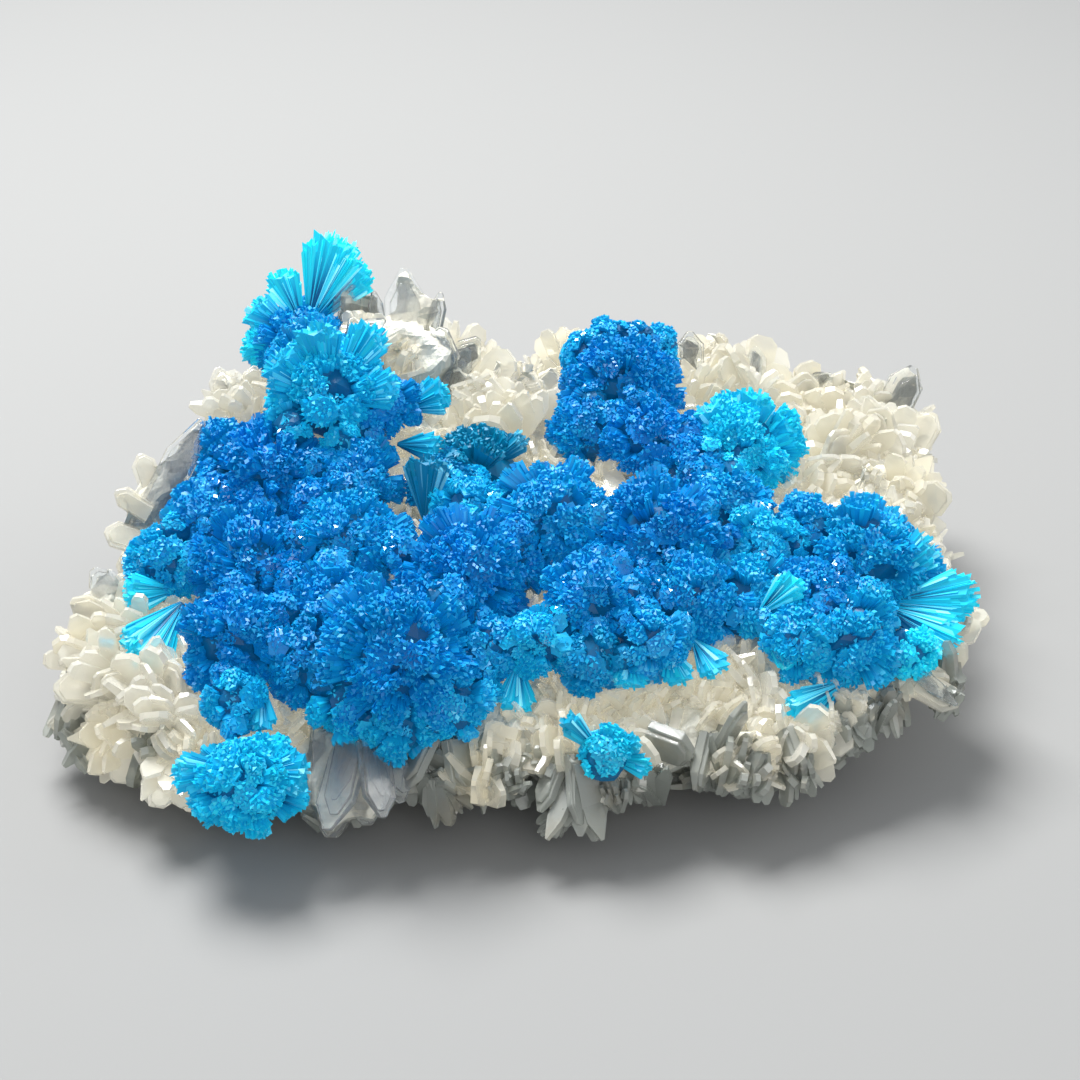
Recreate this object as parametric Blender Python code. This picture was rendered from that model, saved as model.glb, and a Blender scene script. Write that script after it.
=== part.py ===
"""A cavansite specimen: blue rosettes of radiating crystals, crowded over a plate of stilbite.

Lengths are in metres. X runs along the plate, Y from its front edge to its back, Z up.
The origin is under the middle of the specimen, on the surface that it rests on.

The face of the specimen is laid out on a square drawing, as it is seen from a little above
its front. A spot of the drawing is (across, down), from the drawing's upper left corner, and
the sight line through it meets the stone where the crystal there is rooted. A direction is
lean, in degrees clockwise from upright in the drawing, and tip, in degrees out of the drawing
towards the eye.
"""

import math
import random
from typing import NamedTuple

import bmesh
import bpy
from mathutils import Euler, Matrix, Vector, noise

MM = 0.001

# The sight that the face drawing is made from
SIGHT_TILT = math.radians(32)
SIGHT_DISTANCE = 225 * MM
SIGHT_HEIGHT = 18 * MM
DRAWING_SIDE = 1080
DRAWING_ANGLE = math.radians(30)

# From the drawing's middle to the middle of the specimen's own box
MIDDLE = Vector((-2.05 * MM, 1.45 * MM, 0))

GAP = 0.3 * MM
ROOT = 2.0 * MM

# The plate: its rim as (x, y, height of the lower edge), in millimetres, from the left tip
# along the front to the right, and back round
RIM = (
    (-52, -14, 8),
    (-49, -19, 5),
    (-44, -23, 4),
    (-38, -28, 3),
    (-31, -31, 3),
    (-24, -32, 3),
    (-17, -31, 4),
    (-10, -29, 5),
    (-1, -29, 5),
    (4, -31, 3),
    (12, -28, 5),
    (22, -28, 5),
    (29, -27, 6),
    (35, -23, 8),
    (41, -20, 10),
    (45, -13, 12),
    (46, -2, 12),
    (44, 9, 11),
    (46, 20, 10),
    (47, 30, 9),
    (41, 36, 7),
    (30, 38, 5),
    (18, 39, 4),
    (5, 37, 4),
    (-8, 36, 5),
    (-18, 33, 6),
    (-28, 28, 8),
    (-36, 19, 9),
    (-43, 9, 9),
    (-47, -1, 8),
)

# Heights of the plate's upper face as (x, y, z), in millimetres
UPPER_FACE = (
    (-50, -14, 12),
    (-44, -22, 10),
    (-34, -28, 10),
    (-22, -30, 9),
    (-8, -28, 11),
    (8, -28, 11),
    (24, -26, 11),
    (36, -19, 13),
    (45, -8, 16),
    (-40, -8, 16),
    (-28, -14, 17),
    (-10, -14, 18),
    (10, -14, 18),
    (28, -10, 17),
    (40, 4, 18),
    (-46, 0, 16),
    (-42, 12, 21),
    (-32, 8, 22),
    (-14, 4, 22),
    (6, 4, 21),
    (24, 6, 19),
    (-34, 20, 28),
    (-24, 19, 33),
    (-14, 27, 30),
    (-2, 22, 23),
    (-4, 35, 22),
    (12, 27, 25),
    (22, 36, 23),
    (34, 26, 19),
    (46, 26, 18),
    (44, 34, 18),
)

PLATE_COLUMNS = 38
TOP_ROWS = (0.2, 0.4, 0.58, 0.73, 0.86, 0.95)
WALL_HEIGHTS = (0.72, 0.36)
UNDER_ROWS = (0.95, 0.8, 0.64, 0.42)
FOOT_ROW = 0.44
FOOT_DEPTH = 3.0 * MM
PLATE_ROUGHNESS = 1.3 * MM
ROUGH_SCALE = 1 / (5.5 * MM)

# Blue crystals have a pointed ball where they radiate all round, and a fan where they spread
# narrower than this
BALL_SPREAD = 70
VALLEY = 0.82
BURR_DENSITY = 0.3
CORE_SINK = 0.28


class Rosette(NamedTuple):
    """A burst of blue crystals. Its radius, and its lift off the plate, are in millimetres."""

    across: float
    down: float
    radius: float
    lift: float
    lean: float
    tip: float
    spread: float


class Blade(NamedTuple):
    """A flat stilbite crystal. Width, length and thickness are in millimetres."""

    across: float
    down: float
    width: float
    length: float
    thickness: float
    lean: float
    tip: float
    turn: float
    lift: float = 0


CRUST = (
    # the upright fans of the peak
    Rosette(302, 346, 6.2, 4, -30, 30, 100),
    Rosette(314, 374, 6.0, 2.5, -30, 30, 100),
    Rosette(308, 325, 11.0, 5, 22, 8, 19),
    Rosette(312, 325, 9.4, 5, 46, 2, 17),
    Rosette(303, 327, 7.4, 5, -24, 12, 20),
    Rosette(298, 335, 7.0, 5, -62, 10, 24),
    Rosette(292, 352, 6.2, 5, -84, 18, 26),
    # the star below the peak, with its own fans
    Rosette(330, 395, 7.4, 3.5, 0, 40, 100),
    Rosette(333, 392, 9.6, 3.5, 36, 18, 15),
    Rosette(380, 408, 4.8, 4, 30, 50, 100),
    Rosette(402, 410, 6.2, 3.5, 68, 18, 26),
    Rosette(395, 444, 6.2, 5, 96, 25, 20),
    Rosette(425, 525, 8.2, 1.5, 2, 12, 21),
    Rosette(470, 512, 4.8, 3, 10, 50, 100),
    Rosette(478, 480, 6.4, 0, 8, 6, 52),
    # the tall group of the right back
    Rosette(620, 386, 7.4, 5, 0, 45, 110),
    Rosette(584, 356, 3.0, 14, -40, 30, 100),
    Rosette(605, 341, 2.8, 15, -10, 30, 100),
    Rosette(632, 342, 2.8, 15, 0, 30, 100),
    Rosette(658, 347, 3.3, 14, 20, 30, 100),
    Rosette(592, 430, 5.4, 3, -20, 45, 100),
    Rosette(645, 440, 5.6, 5, 10, 50, 100),
    Rosette(740, 452, 7.2, 5, 10, 45, 100),
    # the main field, from the left to the right
    Rosette(234, 464, 5.6, 3, -15, 50, 110),
    Rosette(272, 480, 7.4, 3, 0, 50, 110),
    Rosette(172, 565, 5.6, 3, -60, 40, 110),
    Rosette(185, 600, 8.8, 3, -143, 20, 24),
    Rosette(178, 590, 6.2, 3, -95, 18, 24),
    Rosette(255, 570, 7.6, 3, -30, 60, 110),
    Rosette(238, 640, 6.4, 3, -60, 50, 110),
    Rosette(236, 700, 3.6, 5, 190, 50, 110),
    Rosette(262, 682, 5.6, 5, 176, 18, 16),
    Rosette(350, 545, 7.2, 3, 0, 60, 110),
    Rosette(398, 655, 8.4, 5, 180, 70, 110),
    Rosette(330, 610, 6.0, 3, -30, 70, 110),
    Rosette(465, 580, 7.8, 5, 20, 70, 110),
    Rosette(552, 520, 6.8, 5, 0, 50, 110),
    Rosette(655, 545, 8.0, 5, 0, 60, 110),
    Rosette(592, 602, 5.8, 5, 0, 70, 110),
    Rosette(538, 640, 4.0, 5, 0, 60, 100),
    Rosette(488, 648, 4.4, 3, 180, 60, 110),
    Rosette(518, 660, 5.8, 3, 182, 20, 24),
    Rosette(448, 700, 5.4, 3, 180, 60, 110),
    Rosette(630, 655, 3.9, 3, 182, 25, 34),
    Rosette(668, 648, 4.4, 3, 160, 22, 26),
    Rosette(692, 638, 5.2, 3, 142, 22, 24),
    Rosette(690, 602, 6.4, 3, 180, 70, 110),
    Rosette(745, 600, 5.6, 1.5, 150, 70, 110),
    Rosette(760, 618, 7.0, 3, 92, 20, 30),
    Rosette(762, 545, 4.4, 5, 30, 50, 100),
    Rosette(802, 540, 5.4, 3, 0, 60, 110),
    Rosette(720, 510, 5.6, 3, 0, 60, 110),
    Rosette(862, 565, 7.8, 3, 20, 55, 110),
    Rosette(885, 602, 10.2, 3, 84, 8, 19),
    Rosette(882, 605, 9.4, 3, 118, 12, 20),
    Rosette(872, 590, 8.6, 3, 48, 6, 19),
    Rosette(845, 638, 6.2, 3, 150, 60, 110),
    Rosette(905, 655, 4.0, 1.5, 130, 50, 100),
    Rosette(850, 680, 8.0, 1.5, 246, 14, 14),
    Rosette(845, 682, 6.6, 1.5, 224, 16, 15),
    # small ones that fill the crust between them
    Rosette(352, 486, 6.0, 3, 0, 60, 110),
    Rosette(508, 560, 5.4, 3, 0, 60, 110),
    Rosette(606, 548, 5.6, 3, 0, 60, 110),
    Rosette(642, 602, 5.2, 3, 0, 60, 110),
    Rosette(692, 480, 5.6, 3, 0, 60, 110),
    Rosette(815, 602, 5.4, 3, 0, 60, 110),
    Rosette(205, 525, 5.6, 3, -30, 60, 110),
    Rosette(310, 662, 5.4, 3, -20, 60, 110),
    Rosette(352, 700, 5.2, 3, 190, 60, 110),
    Rosette(400, 722, 4.4, 3, 180, 50, 110),
    Rosette(592, 655, 4.4, 3, 180, 60, 110),
    Rosette(650, 640, 4.4, 3, 180, 60, 110),
    Rosette(800, 640, 4.6, 3, 170, 60, 110),
    Rosette(448, 488, 4.6, 2, 0, 60, 110),
)

LOW_LEFT = (
    Rosette(245, 782, 5.8, 3, 190, 55, 120),
    Rosette(236, 770, 6.4, 3, -94, 18, 24),
    Rosette(258, 772, 5.8, 3, 88, 20, 28),
)

FRONT_STAR = (
    Rosette(605, 757, 6.4, 1.5, -45, 14, 13),
    Rosette(605, 757, 3.4, 1.5, 0, 45, 70),
    Rosette(606, 757, 4.2, 1.5, 58, 18, 20),
    Rosette(606, 757, 4.9, 1.5, 102, 14, 18),
    Rosette(604, 758, 2.9, 1.5, -120, 30, 24),
)

SPRIG = (
    Rosette(107, 654, 2.0, 1.5, -12, 30, 14),
    Rosette(107, 654, 2.1, 1.5, 16, 30, 14),
)

BLADES = (
    # the tall cluster behind the star, on its ridge
    Blade(392, 362, 13.5, 4.8, 3.4, 18, 4, 0, 3),
    Blade(406, 352, 4.8, 9.8, 1.8, 0, 8, 8, 2),
    Blade(342, 338, 3.3, 7.4, 1.4, 14, 10, 20, 6),
    Blade(378, 336, 2.6, 6.2, 1.3, -8, 8, 40, 5),
    Blade(432, 336, 2.2, 5.2, 1.1, 14, 6, -30, 5),
    Blade(348, 342, 2.4, 5.4, 1.3, 62, 22, 30, 3),
    Blade(430, 388, 5.6, 7.8, 1.6, 16, 24, -12),
    Blade(452, 372, 3.4, 5.4, 1.3, 40, 20, 15),
    # the long one of the left edge, and the pair of the front
    Blade(148, 527, 4.2, 13.6, 1.8, 27, 4, 14, 1.5),
    Blade(338, 745, 5.8, 9.6, 2.4, 184, 14, 8, 1.5),
    Blade(362, 742, 5.4, 8.8, 2.0, 176, 22, -14, 1.5),
    # the right end's box and needle
    Blade(892, 412, 4.4, 6.2, 2.6, 24, 10, 24),
    Blade(903, 660, 1.7, 7.4, 1.3, 132, 22, 20, 1.5),
    # the cream sheaf between the two blue groups, and the rest of the back edge
    Blade(500, 425, 4.2, 7.4, 1.6, -28, 20, 10),
    Blade(505, 420, 4.4, 7.8, 1.6, -4, 16, -8),
    Blade(512, 420, 4.2, 7.4, 1.6, 22, 16, 12),
    Blade(545, 402, 3.4, 4.4, 1.4, 12, 10, 20),
    Blade(228, 402, 3.0, 4.4, 1.4, -18, 10, 10),
    Blade(248, 394, 2.4, 3.6, 1.2, 12, 10, 30),
    Blade(262, 402, 2.2, 4.4, 1.4, 128, 30, 20),
    # the left edge and the low left end
    Blade(150, 482, 2.8, 3.6, 1.4, -20, 10, 10),
    Blade(138, 506, 2.4, 3.2, 1.4, -60, 10, -10),
    Blade(132, 540, 3.0, 3.4, 1.6, -70, 16, 20),
    Blade(118, 600, 3.4, 4.6, 1.4, -38, 14, 10),
    Blade(104, 618, 3.2, 4.2, 1.4, -62, 14, -14),
    Blade(88, 655, 2.0, 4.2, 1.4, -66, 18, 0),
    Blade(84, 690, 3.4, 3.4, 1.4, -84, 18, 20),
    Blade(78, 722, 2.6, 3.4, 1.4, -96, 14, -20),
    Blade(96, 742, 3.2, 3.2, 1.6, -118, 10, 10),
    Blade(132, 762, 3.0, 3.0, 1.4, -136, 8, 0),
    Blade(180, 786, 3.2, 3.8, 1.6, 128, 8, 20),
    Blade(150, 720, 4.2, 5.0, 1.6, 56, 44, 20),
    Blade(170, 690, 4.0, 5.0, 1.6, 40, 50, -30),
    Blade(120, 690, 3.6, 4.6, 1.4, -40, 56, 10),
    # the front wall
    Blade(450, 765, 4.4, 4.6, 1.8, 186, 18, 10),
    Blade(500, 760, 4.4, 4.2, 1.8, 170, 18, -16),
    Blade(568, 775, 5.0, 5.2, 1.8, 184, 14, 8),
    Blade(602, 772, 4.0, 4.0, 1.8, 160, 22, -12),
    Blade(655, 755, 4.2, 3.6, 1.6, 186, 18, 18),
    Blade(700, 752, 3.6, 3.8, 1.6, 172, 24, -14),
    Blade(748, 748, 4.4, 4.0, 1.8, 182, 18, 10),
    Blade(792, 752, 4.0, 3.8, 1.6, 166, 14, -18),
    Blade(945, 672, 2.4, 4.0, 1.8, 30, 12, 10),
    Blade(930, 690, 3.0, 3.6, 1.6, 120, 12, -10),
    # the right back
    Blade(690, 372, 3.8, 5.2, 1.4, -4, 8, 18),
    Blade(754, 382, 3.0, 4.6, 1.4, 2, 8, -10),
    Blade(795, 388, 2.0, 5.0, 1.2, 68, 12, 30),
    Blade(828, 392, 1.8, 3.6, 1.2, 36, 10, 0),
    Blade(866, 405, 2.6, 4.2, 1.2, -6, 8, 15),
    Blade(918, 442, 3.4, 4.2, 1.4, 30, 10, -20),
    Blade(915, 500, 4.2, 4.4, 1.8, 84, 16, 10),
    Blade(840, 460, 4.6, 5.4, 1.6, -30, 50, 20),
    Blade(870, 440, 4.2, 5.4, 1.6, 24, 46, -20),
    Blade(800, 400, 4.0, 4.4, 1.6, 10, 40, 20),
    Blade(580, 452, 3.6, 4.6, 1.4, -10, 36, 20),
    Blade(612, 480, 2.8, 3.8, 1.2, 150, 40, -10),
)

# The crust of the back and the sides: how many small crystals, and their sizes
BACK_BLADES = 52
BACK_WIDTH = (2.8, 5.0)
BACK_LENGTH = (2.2, 4.2)
BACK_ROWS = (0.72, 1.0)

BLUE = (0.0, 0.21, 0.68)
CREAM = (0.80, 0.76, 0.63)

RIGHT = Vector((1, 0, 0))
UP = Vector((0, math.sin(SIGHT_TILT), math.cos(SIGHT_TILT)))
OUT = Vector((0, -math.cos(SIGHT_TILT), math.sin(SIGHT_TILT)))
EYE = Vector((0, 0, SIGHT_HEIGHT)) + SIGHT_DISTANCE * OUT


def upper_face(x, y):
    """Height of the plate's upper face, smoothed between its stated heights."""
    total, weights = 0.0, 0.0
    for known_x, known_y, known_z in UPPER_FACE:
        apart = math.hypot(x / MM - known_x, y / MM - known_y)
        weight = 1 / (apart + 1.5) ** 3
        total += weight * known_z
        weights += weight
    return total / weights * MM


def direction(lean, tip):
    """The direction that leans this far from upright and tips this far towards the eye."""
    lean, tip = math.radians(lean), math.radians(tip)
    in_face = UP * math.cos(lean) + RIGHT * math.sin(lean)
    return in_face * math.cos(tip) + OUT * math.sin(tip)


def within_rim(x, y):
    """Whether a spot, seen from above, is over the plate."""
    inside = False
    for (x1, y1, _), (x2, y2, _) in zip(RIM, RIM[1:] + RIM[:1]):
        if (y1 * MM > y) != (y2 * MM > y):
            if x < (x1 + (x2 - x1) * (y / MM - y1) / (y2 - y1)) * MM:
                inside = not inside
    return inside


def seat(across, down, lift=0.0):
    """Where the sight line through a spot meets the plate, drawn back to the eye by lift."""
    step = 2 * math.tan(DRAWING_ANGLE / 2) / DRAWING_SIDE
    middle = DRAWING_SIDE / 2
    line = -OUT + RIGHT * (across - middle) * step + UP * (middle - down) * step
    met, best_clearance = None, math.inf
    for tenth in range(1500, 3000, 5):
        point = EYE + line * (tenth / 10 * MM)
        if within_rim(point.x, point.y):
            clearance = point.z - upper_face(point.x, point.y)
            if clearance < best_clearance:
                met, best_clearance = point, clearance
            if clearance <= 0:
                break
    return met - line.normalized() * lift


def rim_at(share):
    """(x, y, height of the lower edge) of the rim, this share of the way round."""
    place = share * len(RIM)
    first, along = int(place) % len(RIM), place % 1
    a, b = RIM[first], RIM[(first + 1) % len(RIM)]
    return tuple((p + (q - p) * along) * MM for p, q in zip(a, b))


def ripple(point):
    """The plate's roughness at a point, from -1 to 1."""
    return noise.noise(point * ROUGH_SCALE) + 0.5 * noise.noise(point * ROUGH_SCALE * 2.3)


def top_point(share, row):
    """A point of the plate's upper face, this share round and this far out."""
    x, y, _ = rim_at(share)
    x, y = x * row, y * row
    rough = PLATE_ROUGHNESS * ripple(Vector((x, y, 0.02)))
    return Vector((x, y, upper_face(x, y) + rough))


def wall_point(share, height):
    """A point of the plate's wall, this far up it."""
    x, y, low = rim_at(share)
    z = low + (upper_face(x, y) - low) * height
    out = 1 + PLATE_ROUGHNESS * ripple(Vector((x, y, z))) / math.hypot(x, y)
    return Vector((x * out, y * out, z))


def under_point(share, row):
    """A point of the plate's underside, which reaches below its foot to be cut off flat."""
    x, y, low = rim_at(share)
    x, y = x * row, y * row
    rough = PLATE_ROUGHNESS * ripple(Vector((x, y, -0.02)))
    rise = min(1, max(0, (row - FOOT_ROW) / (UNDER_ROWS[0] - FOOT_ROW)))
    rise = rise * rise * (3 - 2 * rise)
    return Vector((x, y, low * rise - FOOT_DEPTH * (1 - rise) + rough))


def skin(grow):
    """The plate's closed skin, grown outwards by this much."""
    mesh = bmesh.new()
    sides = [(top_point, row) for row in TOP_ROWS]
    sides += [(wall_point, height) for height in WALL_HEIGHTS]
    sides += [(under_point, row) for row in UNDER_ROWS]
    rings = []
    for place, step in sides:
        ring = [place(i / PLATE_COLUMNS, step) for i in range(PLATE_COLUMNS)]
        rings.append([mesh.verts.new(point) for point in ring])
    top = mesh.verts.new((0, 0, upper_face(0, 0)))
    bottom = mesh.verts.new((0, 0, -FOOT_DEPTH))
    for upper, lower in zip(rings, rings[1:]):
        for i in range(PLATE_COLUMNS):
            after = (i + 1) % PLATE_COLUMNS
            mesh.faces.new((upper[i], lower[i], lower[after], upper[after]))
    for i in range(PLATE_COLUMNS):
        after = (i + 1) % PLATE_COLUMNS
        mesh.faces.new((top, rings[0][i], rings[0][after]))
        mesh.faces.new((bottom, rings[-1][after], rings[-1][i]))
    bmesh.ops.recalc_face_normals(mesh, faces=mesh.faces)
    bmesh.ops.triangulate(mesh, faces=mesh.faces)
    mesh.normal_update()
    for vert in mesh.verts:
        vert.co += vert.normal * grow
    return mesh


def cut_flat(mesh):
    """Cuts a closed mesh off where it would pass below the surface that it rests on."""
    everything = mesh.verts[:] + mesh.edges[:] + mesh.faces[:]
    cut = bmesh.ops.bisect_plane(
        mesh, geom=everything, plane_co=(0, 0, 0), plane_no=(0, 0, 1), clear_inner=True
    )
    rim = [piece for piece in cut["geom_cut"] if isinstance(piece, bmesh.types.BMEdge)]
    bmesh.ops.holes_fill(mesh, edges=rim)
    bmesh.ops.recalc_face_normals(mesh, faces=mesh.faces)


def blade_shape(blade, grow=0.0, base=None, along=None):
    """A flat crystal with a pointed end, rooted in the plate."""
    base = base or seat(blade.across, blade.down, blade.lift * MM)
    along = along or direction(blade.lean, blade.tip)
    flat = (OUT - along * OUT.dot(along)).normalized()
    flat = Matrix.Rotation(math.radians(blade.turn), 3, along) @ flat
    wide = along.cross(flat).normalized()
    half, length = blade.width * MM / 2 + grow, blade.length * MM + grow
    thick = blade.thickness * MM / 2 + grow
    outline = (
        (-half * 0.8, -ROOT - grow),
        (half * 0.8, -ROOT - grow),
        (half, length * 0.72),
        (half * 0.35, length),
        (-half * 0.35, length),
        (-half, length * 0.72),
    )
    mesh = bmesh.new()
    sheets = []
    for side in (-thick, thick):
        corners = [base + wide * w + along * a + flat * side for w, a in outline]
        sheets.append([mesh.verts.new(corner) for corner in corners])
    mesh.faces.new(sheets[0])
    mesh.faces.new(reversed(sheets[1]))
    for i in range(len(outline)):
        after = (i + 1) % len(outline)
        mesh.faces.new((sheets[0][after], sheets[0][i], sheets[1][i], sheets[1][after]))
    bmesh.ops.recalc_face_normals(mesh, faces=mesh.faces)
    return mesh


def burr_shape(rosette, number):
    """A ball of short points, for crystals that radiate all round."""
    count = 11 + round(BURR_DENSITY * rosette.radius**2)
    mesh = bmesh.new()
    for i in range(count):
        height = 1 - (2 * i + 1) / count
        around = math.radians(137.5) * i + number
        out = math.sqrt(1 - height * height)
        mesh.verts.new((out * math.cos(around), out * math.sin(around), height))
    bmesh.ops.convex_hull(mesh, input=mesh.verts)
    mesh.verts.index_update()
    spikes = set()
    for vert in mesh.verts:
        if not spikes & {edge.other_vert(vert).index for edge in vert.link_edges}:
            spikes.add(vert.index)
    tilt = Euler((number * 1.3, number * 0.7, 0)).to_matrix()
    middle = seat(rosette.across, rosette.down, rosette.lift * MM)
    for vert in mesh.verts:
        reach = 1 if vert.index in spikes else VALLEY
        vert.co = tilt @ vert.co * (rosette.radius * MM * reach) + middle
    return mesh


def fan_shape(rosette, number):
    """A cone of crystals that spread from one root, with a toothed rim."""
    root = seat(rosette.across, rosette.down, rosette.lift * MM)
    along = direction(rosette.lean, rosette.tip)
    across = along.orthogonal().normalized()
    beside = along.cross(across)
    radius, spread = rosette.radius * MM, math.radians(rosette.spread)
    mesh = bmesh.new()
    points = 8

    def point(angle, turn, reach):
        side = across * math.cos(turn) + beside * math.sin(turn)
        return root + (along * math.cos(angle) + side * math.sin(angle)) * radius * reach

    apex = mesh.verts.new(root - along * radius * CORE_SINK)
    rim, crown = [], []
    for i in range(points):
        turn = math.tau * i / points + number
        rim.append(mesh.verts.new(point(spread, turn, 0.95 if i % 2 else 0.84)))
        crown.append(mesh.verts.new(point(spread * 0.55, turn + 0.2, 0.88 if i % 2 else 1.0)))
    top = mesh.verts.new(point(0, 0, 0.94))
    for i in range(points):
        after = (i + 1) % points
        mesh.faces.new((apex, rim[after], rim[i]))
        mesh.faces.new((rim[i], rim[after], crown[after], crown[i]))
        mesh.faces.new((crown[i], crown[after], top))
    bmesh.ops.recalc_face_normals(mesh, faces=mesh.faces)
    return mesh


def rosette_shapes(rosettes):
    """The ball or fan of each rosette in a list."""
    shapes = []
    for number, rosette in enumerate(rosettes):
        build = burr_shape if rosette.spread >= BALL_SPREAD else fan_shape
        shapes.append(build(rosette, number))
    return shapes


def back_blades(grow):
    """The crystals that crust the plate's sides and back, spread by a fixed draw."""
    draw = random.Random(13)
    shapes = []
    for i in range(BACK_BLADES):
        share = (i + draw.random()) / BACK_BLADES
        row = draw.choice((1.0, draw.uniform(*BACK_ROWS)))
        x, y, low = rim_at(share)
        width, length = draw.uniform(*BACK_WIDTH), draw.uniform(*BACK_LENGTH)
        spin, rise = draw.uniform(-90, 90), draw.uniform(0.1, 0.9)
        sway, up_wall = draw.uniform(-0.5, 0.5), draw.uniform(0.3, 0.95)
        if y < 0:
            continue
        outward = Vector((x, y, 0)).normalized()
        if row == 1.0:
            base = wall_point(share, up_wall) - outward * 1.0 * MM
        else:
            base = top_point(share, row)
            rise += 1.5
        along = outward + Vector((0, 0, 1)).cross(outward) * sway + Vector((0, 0, rise))
        blade = Blade(0, 0, width, length, 1.7, 0, 0, spin)
        shapes.append(blade_shape(blade, grow, base, along.normalized()))
    return shapes


def material(name, colour, roughness):
    """A Principled surface for one kind of crystal."""
    made = bpy.data.materials.new(name)
    made.use_nodes = True
    shader = made.node_tree.nodes["Principled BSDF"]
    shader.inputs["Base Color"].default_value = (*colour, 1)
    shader.inputs["Roughness"].default_value = roughness
    return made


def object_of(name, shape, collection=None):
    """An object for one closed shape."""
    mesh = bpy.data.meshes.new(name)
    shape.to_mesh(mesh)
    shape.free()
    made = bpy.data.objects.new(name, mesh)
    (collection or bpy.context.scene.collection).objects.link(made)
    return made


def helpers(name, shapes):
    """A collection of guide shapes, which only Booleans read."""
    collection = bpy.data.collections.new(name)
    bpy.context.scene.collection.children.link(collection)
    for number, shape in enumerate(shapes):
        helper = object_of(f"{name}_{number}", shape, collection)
        helper.hide_render = True
        helper.display_type = "WIRE"
    return collection


def combine(target, collection, operation):
    """Joins a collection's shapes to the target, or cuts them from it."""
    modifier = target.modifiers.new(operation.lower(), "BOOLEAN")
    modifier.operation = operation
    modifier.operand_type = "COLLECTION"
    modifier.collection = collection


def settle(target):
    """Makes the target's modifiers its mesh, and keeps only its largest body."""
    bpy.context.view_layer.update()
    graph = bpy.context.evaluated_depsgraph_get()
    final = bpy.data.meshes.new_from_object(target.evaluated_get(graph))
    target.modifiers.clear()
    mesh = bmesh.new()
    mesh.from_mesh(final)
    bmesh.ops.triangulate(mesh, faces=mesh.faces)
    bodies, seen = [], set()
    for start in mesh.faces:
        if start.index in seen:
            continue
        body, todo = [], [start]
        seen.add(start.index)
        while todo:
            face = todo.pop()
            body.append(face)
            for edge in face.edges:
                for other in edge.link_faces:
                    if other.index not in seen:
                        seen.add(other.index)
                        todo.append(other)
        bodies.append(body)
    bodies.sort(key=len, reverse=True)
    chips = [face for body in bodies[1:] for face in body]
    bmesh.ops.delete(mesh, geom=chips, context="FACES")
    mesh.to_mesh(target.data)
    mesh.free()
    bpy.data.meshes.remove(final)


def fused(name, shapes, clearance, look):
    """One solid of shapes that have grown together, cut clear of what it grows on."""
    made = object_of(name, shapes[0])
    if len(shapes) > 1:
        combine(made, helpers(name + "_shapes", shapes[1:]), "UNION")
    if clearance:
        combine(made, clearance, "DIFFERENCE")
    settle(made)
    made.data.materials.append(look)
    return made


def matrix_shapes(grow=0.0):
    """The plate and every crystal of its own crust."""
    shapes = [skin(grow)]
    shapes += [blade_shape(blade, grow) for blade in BLADES]
    shapes += back_blades(grow)
    return shapes


def main():
    for old in list(bpy.data.objects):
        bpy.data.objects.remove(old)
    blue = material("cavansite", BLUE, 0.3)
    cream = material("stilbite", CREAM, 0.45)

    plate = fused("stilbite_matrix", matrix_shapes(), None, cream)
    trimmed = bmesh.new()
    trimmed.from_mesh(plate.data)
    cut_flat(trimmed)
    trimmed.to_mesh(plate.data)
    trimmed.free()

    clearance = helpers("plate_clearance", matrix_shapes(GAP))
    made = [plate]
    for name, rosettes in (
        ("cavansite_crust", CRUST),
        ("cavansite_low_left", LOW_LEFT),
        ("cavansite_front_star", FRONT_STAR),
        ("cavansite_sprig", SPRIG),
    ):
        made.append(fused(name, rosette_shapes(rosettes), clearance, blue))
    for solid in made:
        solid.data.transform(Matrix.Translation(-MIDDLE))


main()
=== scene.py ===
"""Dresses the cavansite specimen: blue rosettes of fine crystals on a plate of stilbite."""

from math import cos, pi, radians, sin, sqrt, tan, tau

import bpy
import numpy as np
from bpy.props import FloatProperty, FloatVectorProperty, IntProperty, PointerProperty
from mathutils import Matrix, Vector


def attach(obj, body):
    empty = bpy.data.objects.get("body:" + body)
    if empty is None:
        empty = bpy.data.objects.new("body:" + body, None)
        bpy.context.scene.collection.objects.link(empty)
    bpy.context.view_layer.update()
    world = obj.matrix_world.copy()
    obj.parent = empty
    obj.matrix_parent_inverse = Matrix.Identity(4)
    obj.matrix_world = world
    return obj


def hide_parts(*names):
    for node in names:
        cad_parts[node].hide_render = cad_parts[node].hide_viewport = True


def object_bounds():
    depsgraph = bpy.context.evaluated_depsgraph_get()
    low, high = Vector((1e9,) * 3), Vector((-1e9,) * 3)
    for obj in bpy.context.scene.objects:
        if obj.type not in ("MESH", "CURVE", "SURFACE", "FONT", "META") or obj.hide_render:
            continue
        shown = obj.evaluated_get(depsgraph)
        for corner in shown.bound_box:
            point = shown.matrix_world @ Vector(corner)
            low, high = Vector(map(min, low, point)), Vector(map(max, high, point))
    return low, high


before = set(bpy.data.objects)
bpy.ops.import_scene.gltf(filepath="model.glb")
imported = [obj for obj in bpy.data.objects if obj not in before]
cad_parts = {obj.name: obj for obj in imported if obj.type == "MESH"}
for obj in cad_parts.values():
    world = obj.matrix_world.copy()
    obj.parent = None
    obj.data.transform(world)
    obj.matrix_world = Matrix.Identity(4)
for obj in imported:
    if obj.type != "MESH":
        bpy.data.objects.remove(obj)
CAD_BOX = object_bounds()

bl_info = {
    "name": "Cavansite specimen", "version": (1, 0, 0), "blender": (4, 5, 0),
    "location": "View3D > Sidebar > Cavansite",
    "description": "Grows cavansite rosettes and stilbite blades over the packed specimen",
    "category": "Add Mesh",
}

MM = 0.001

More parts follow.
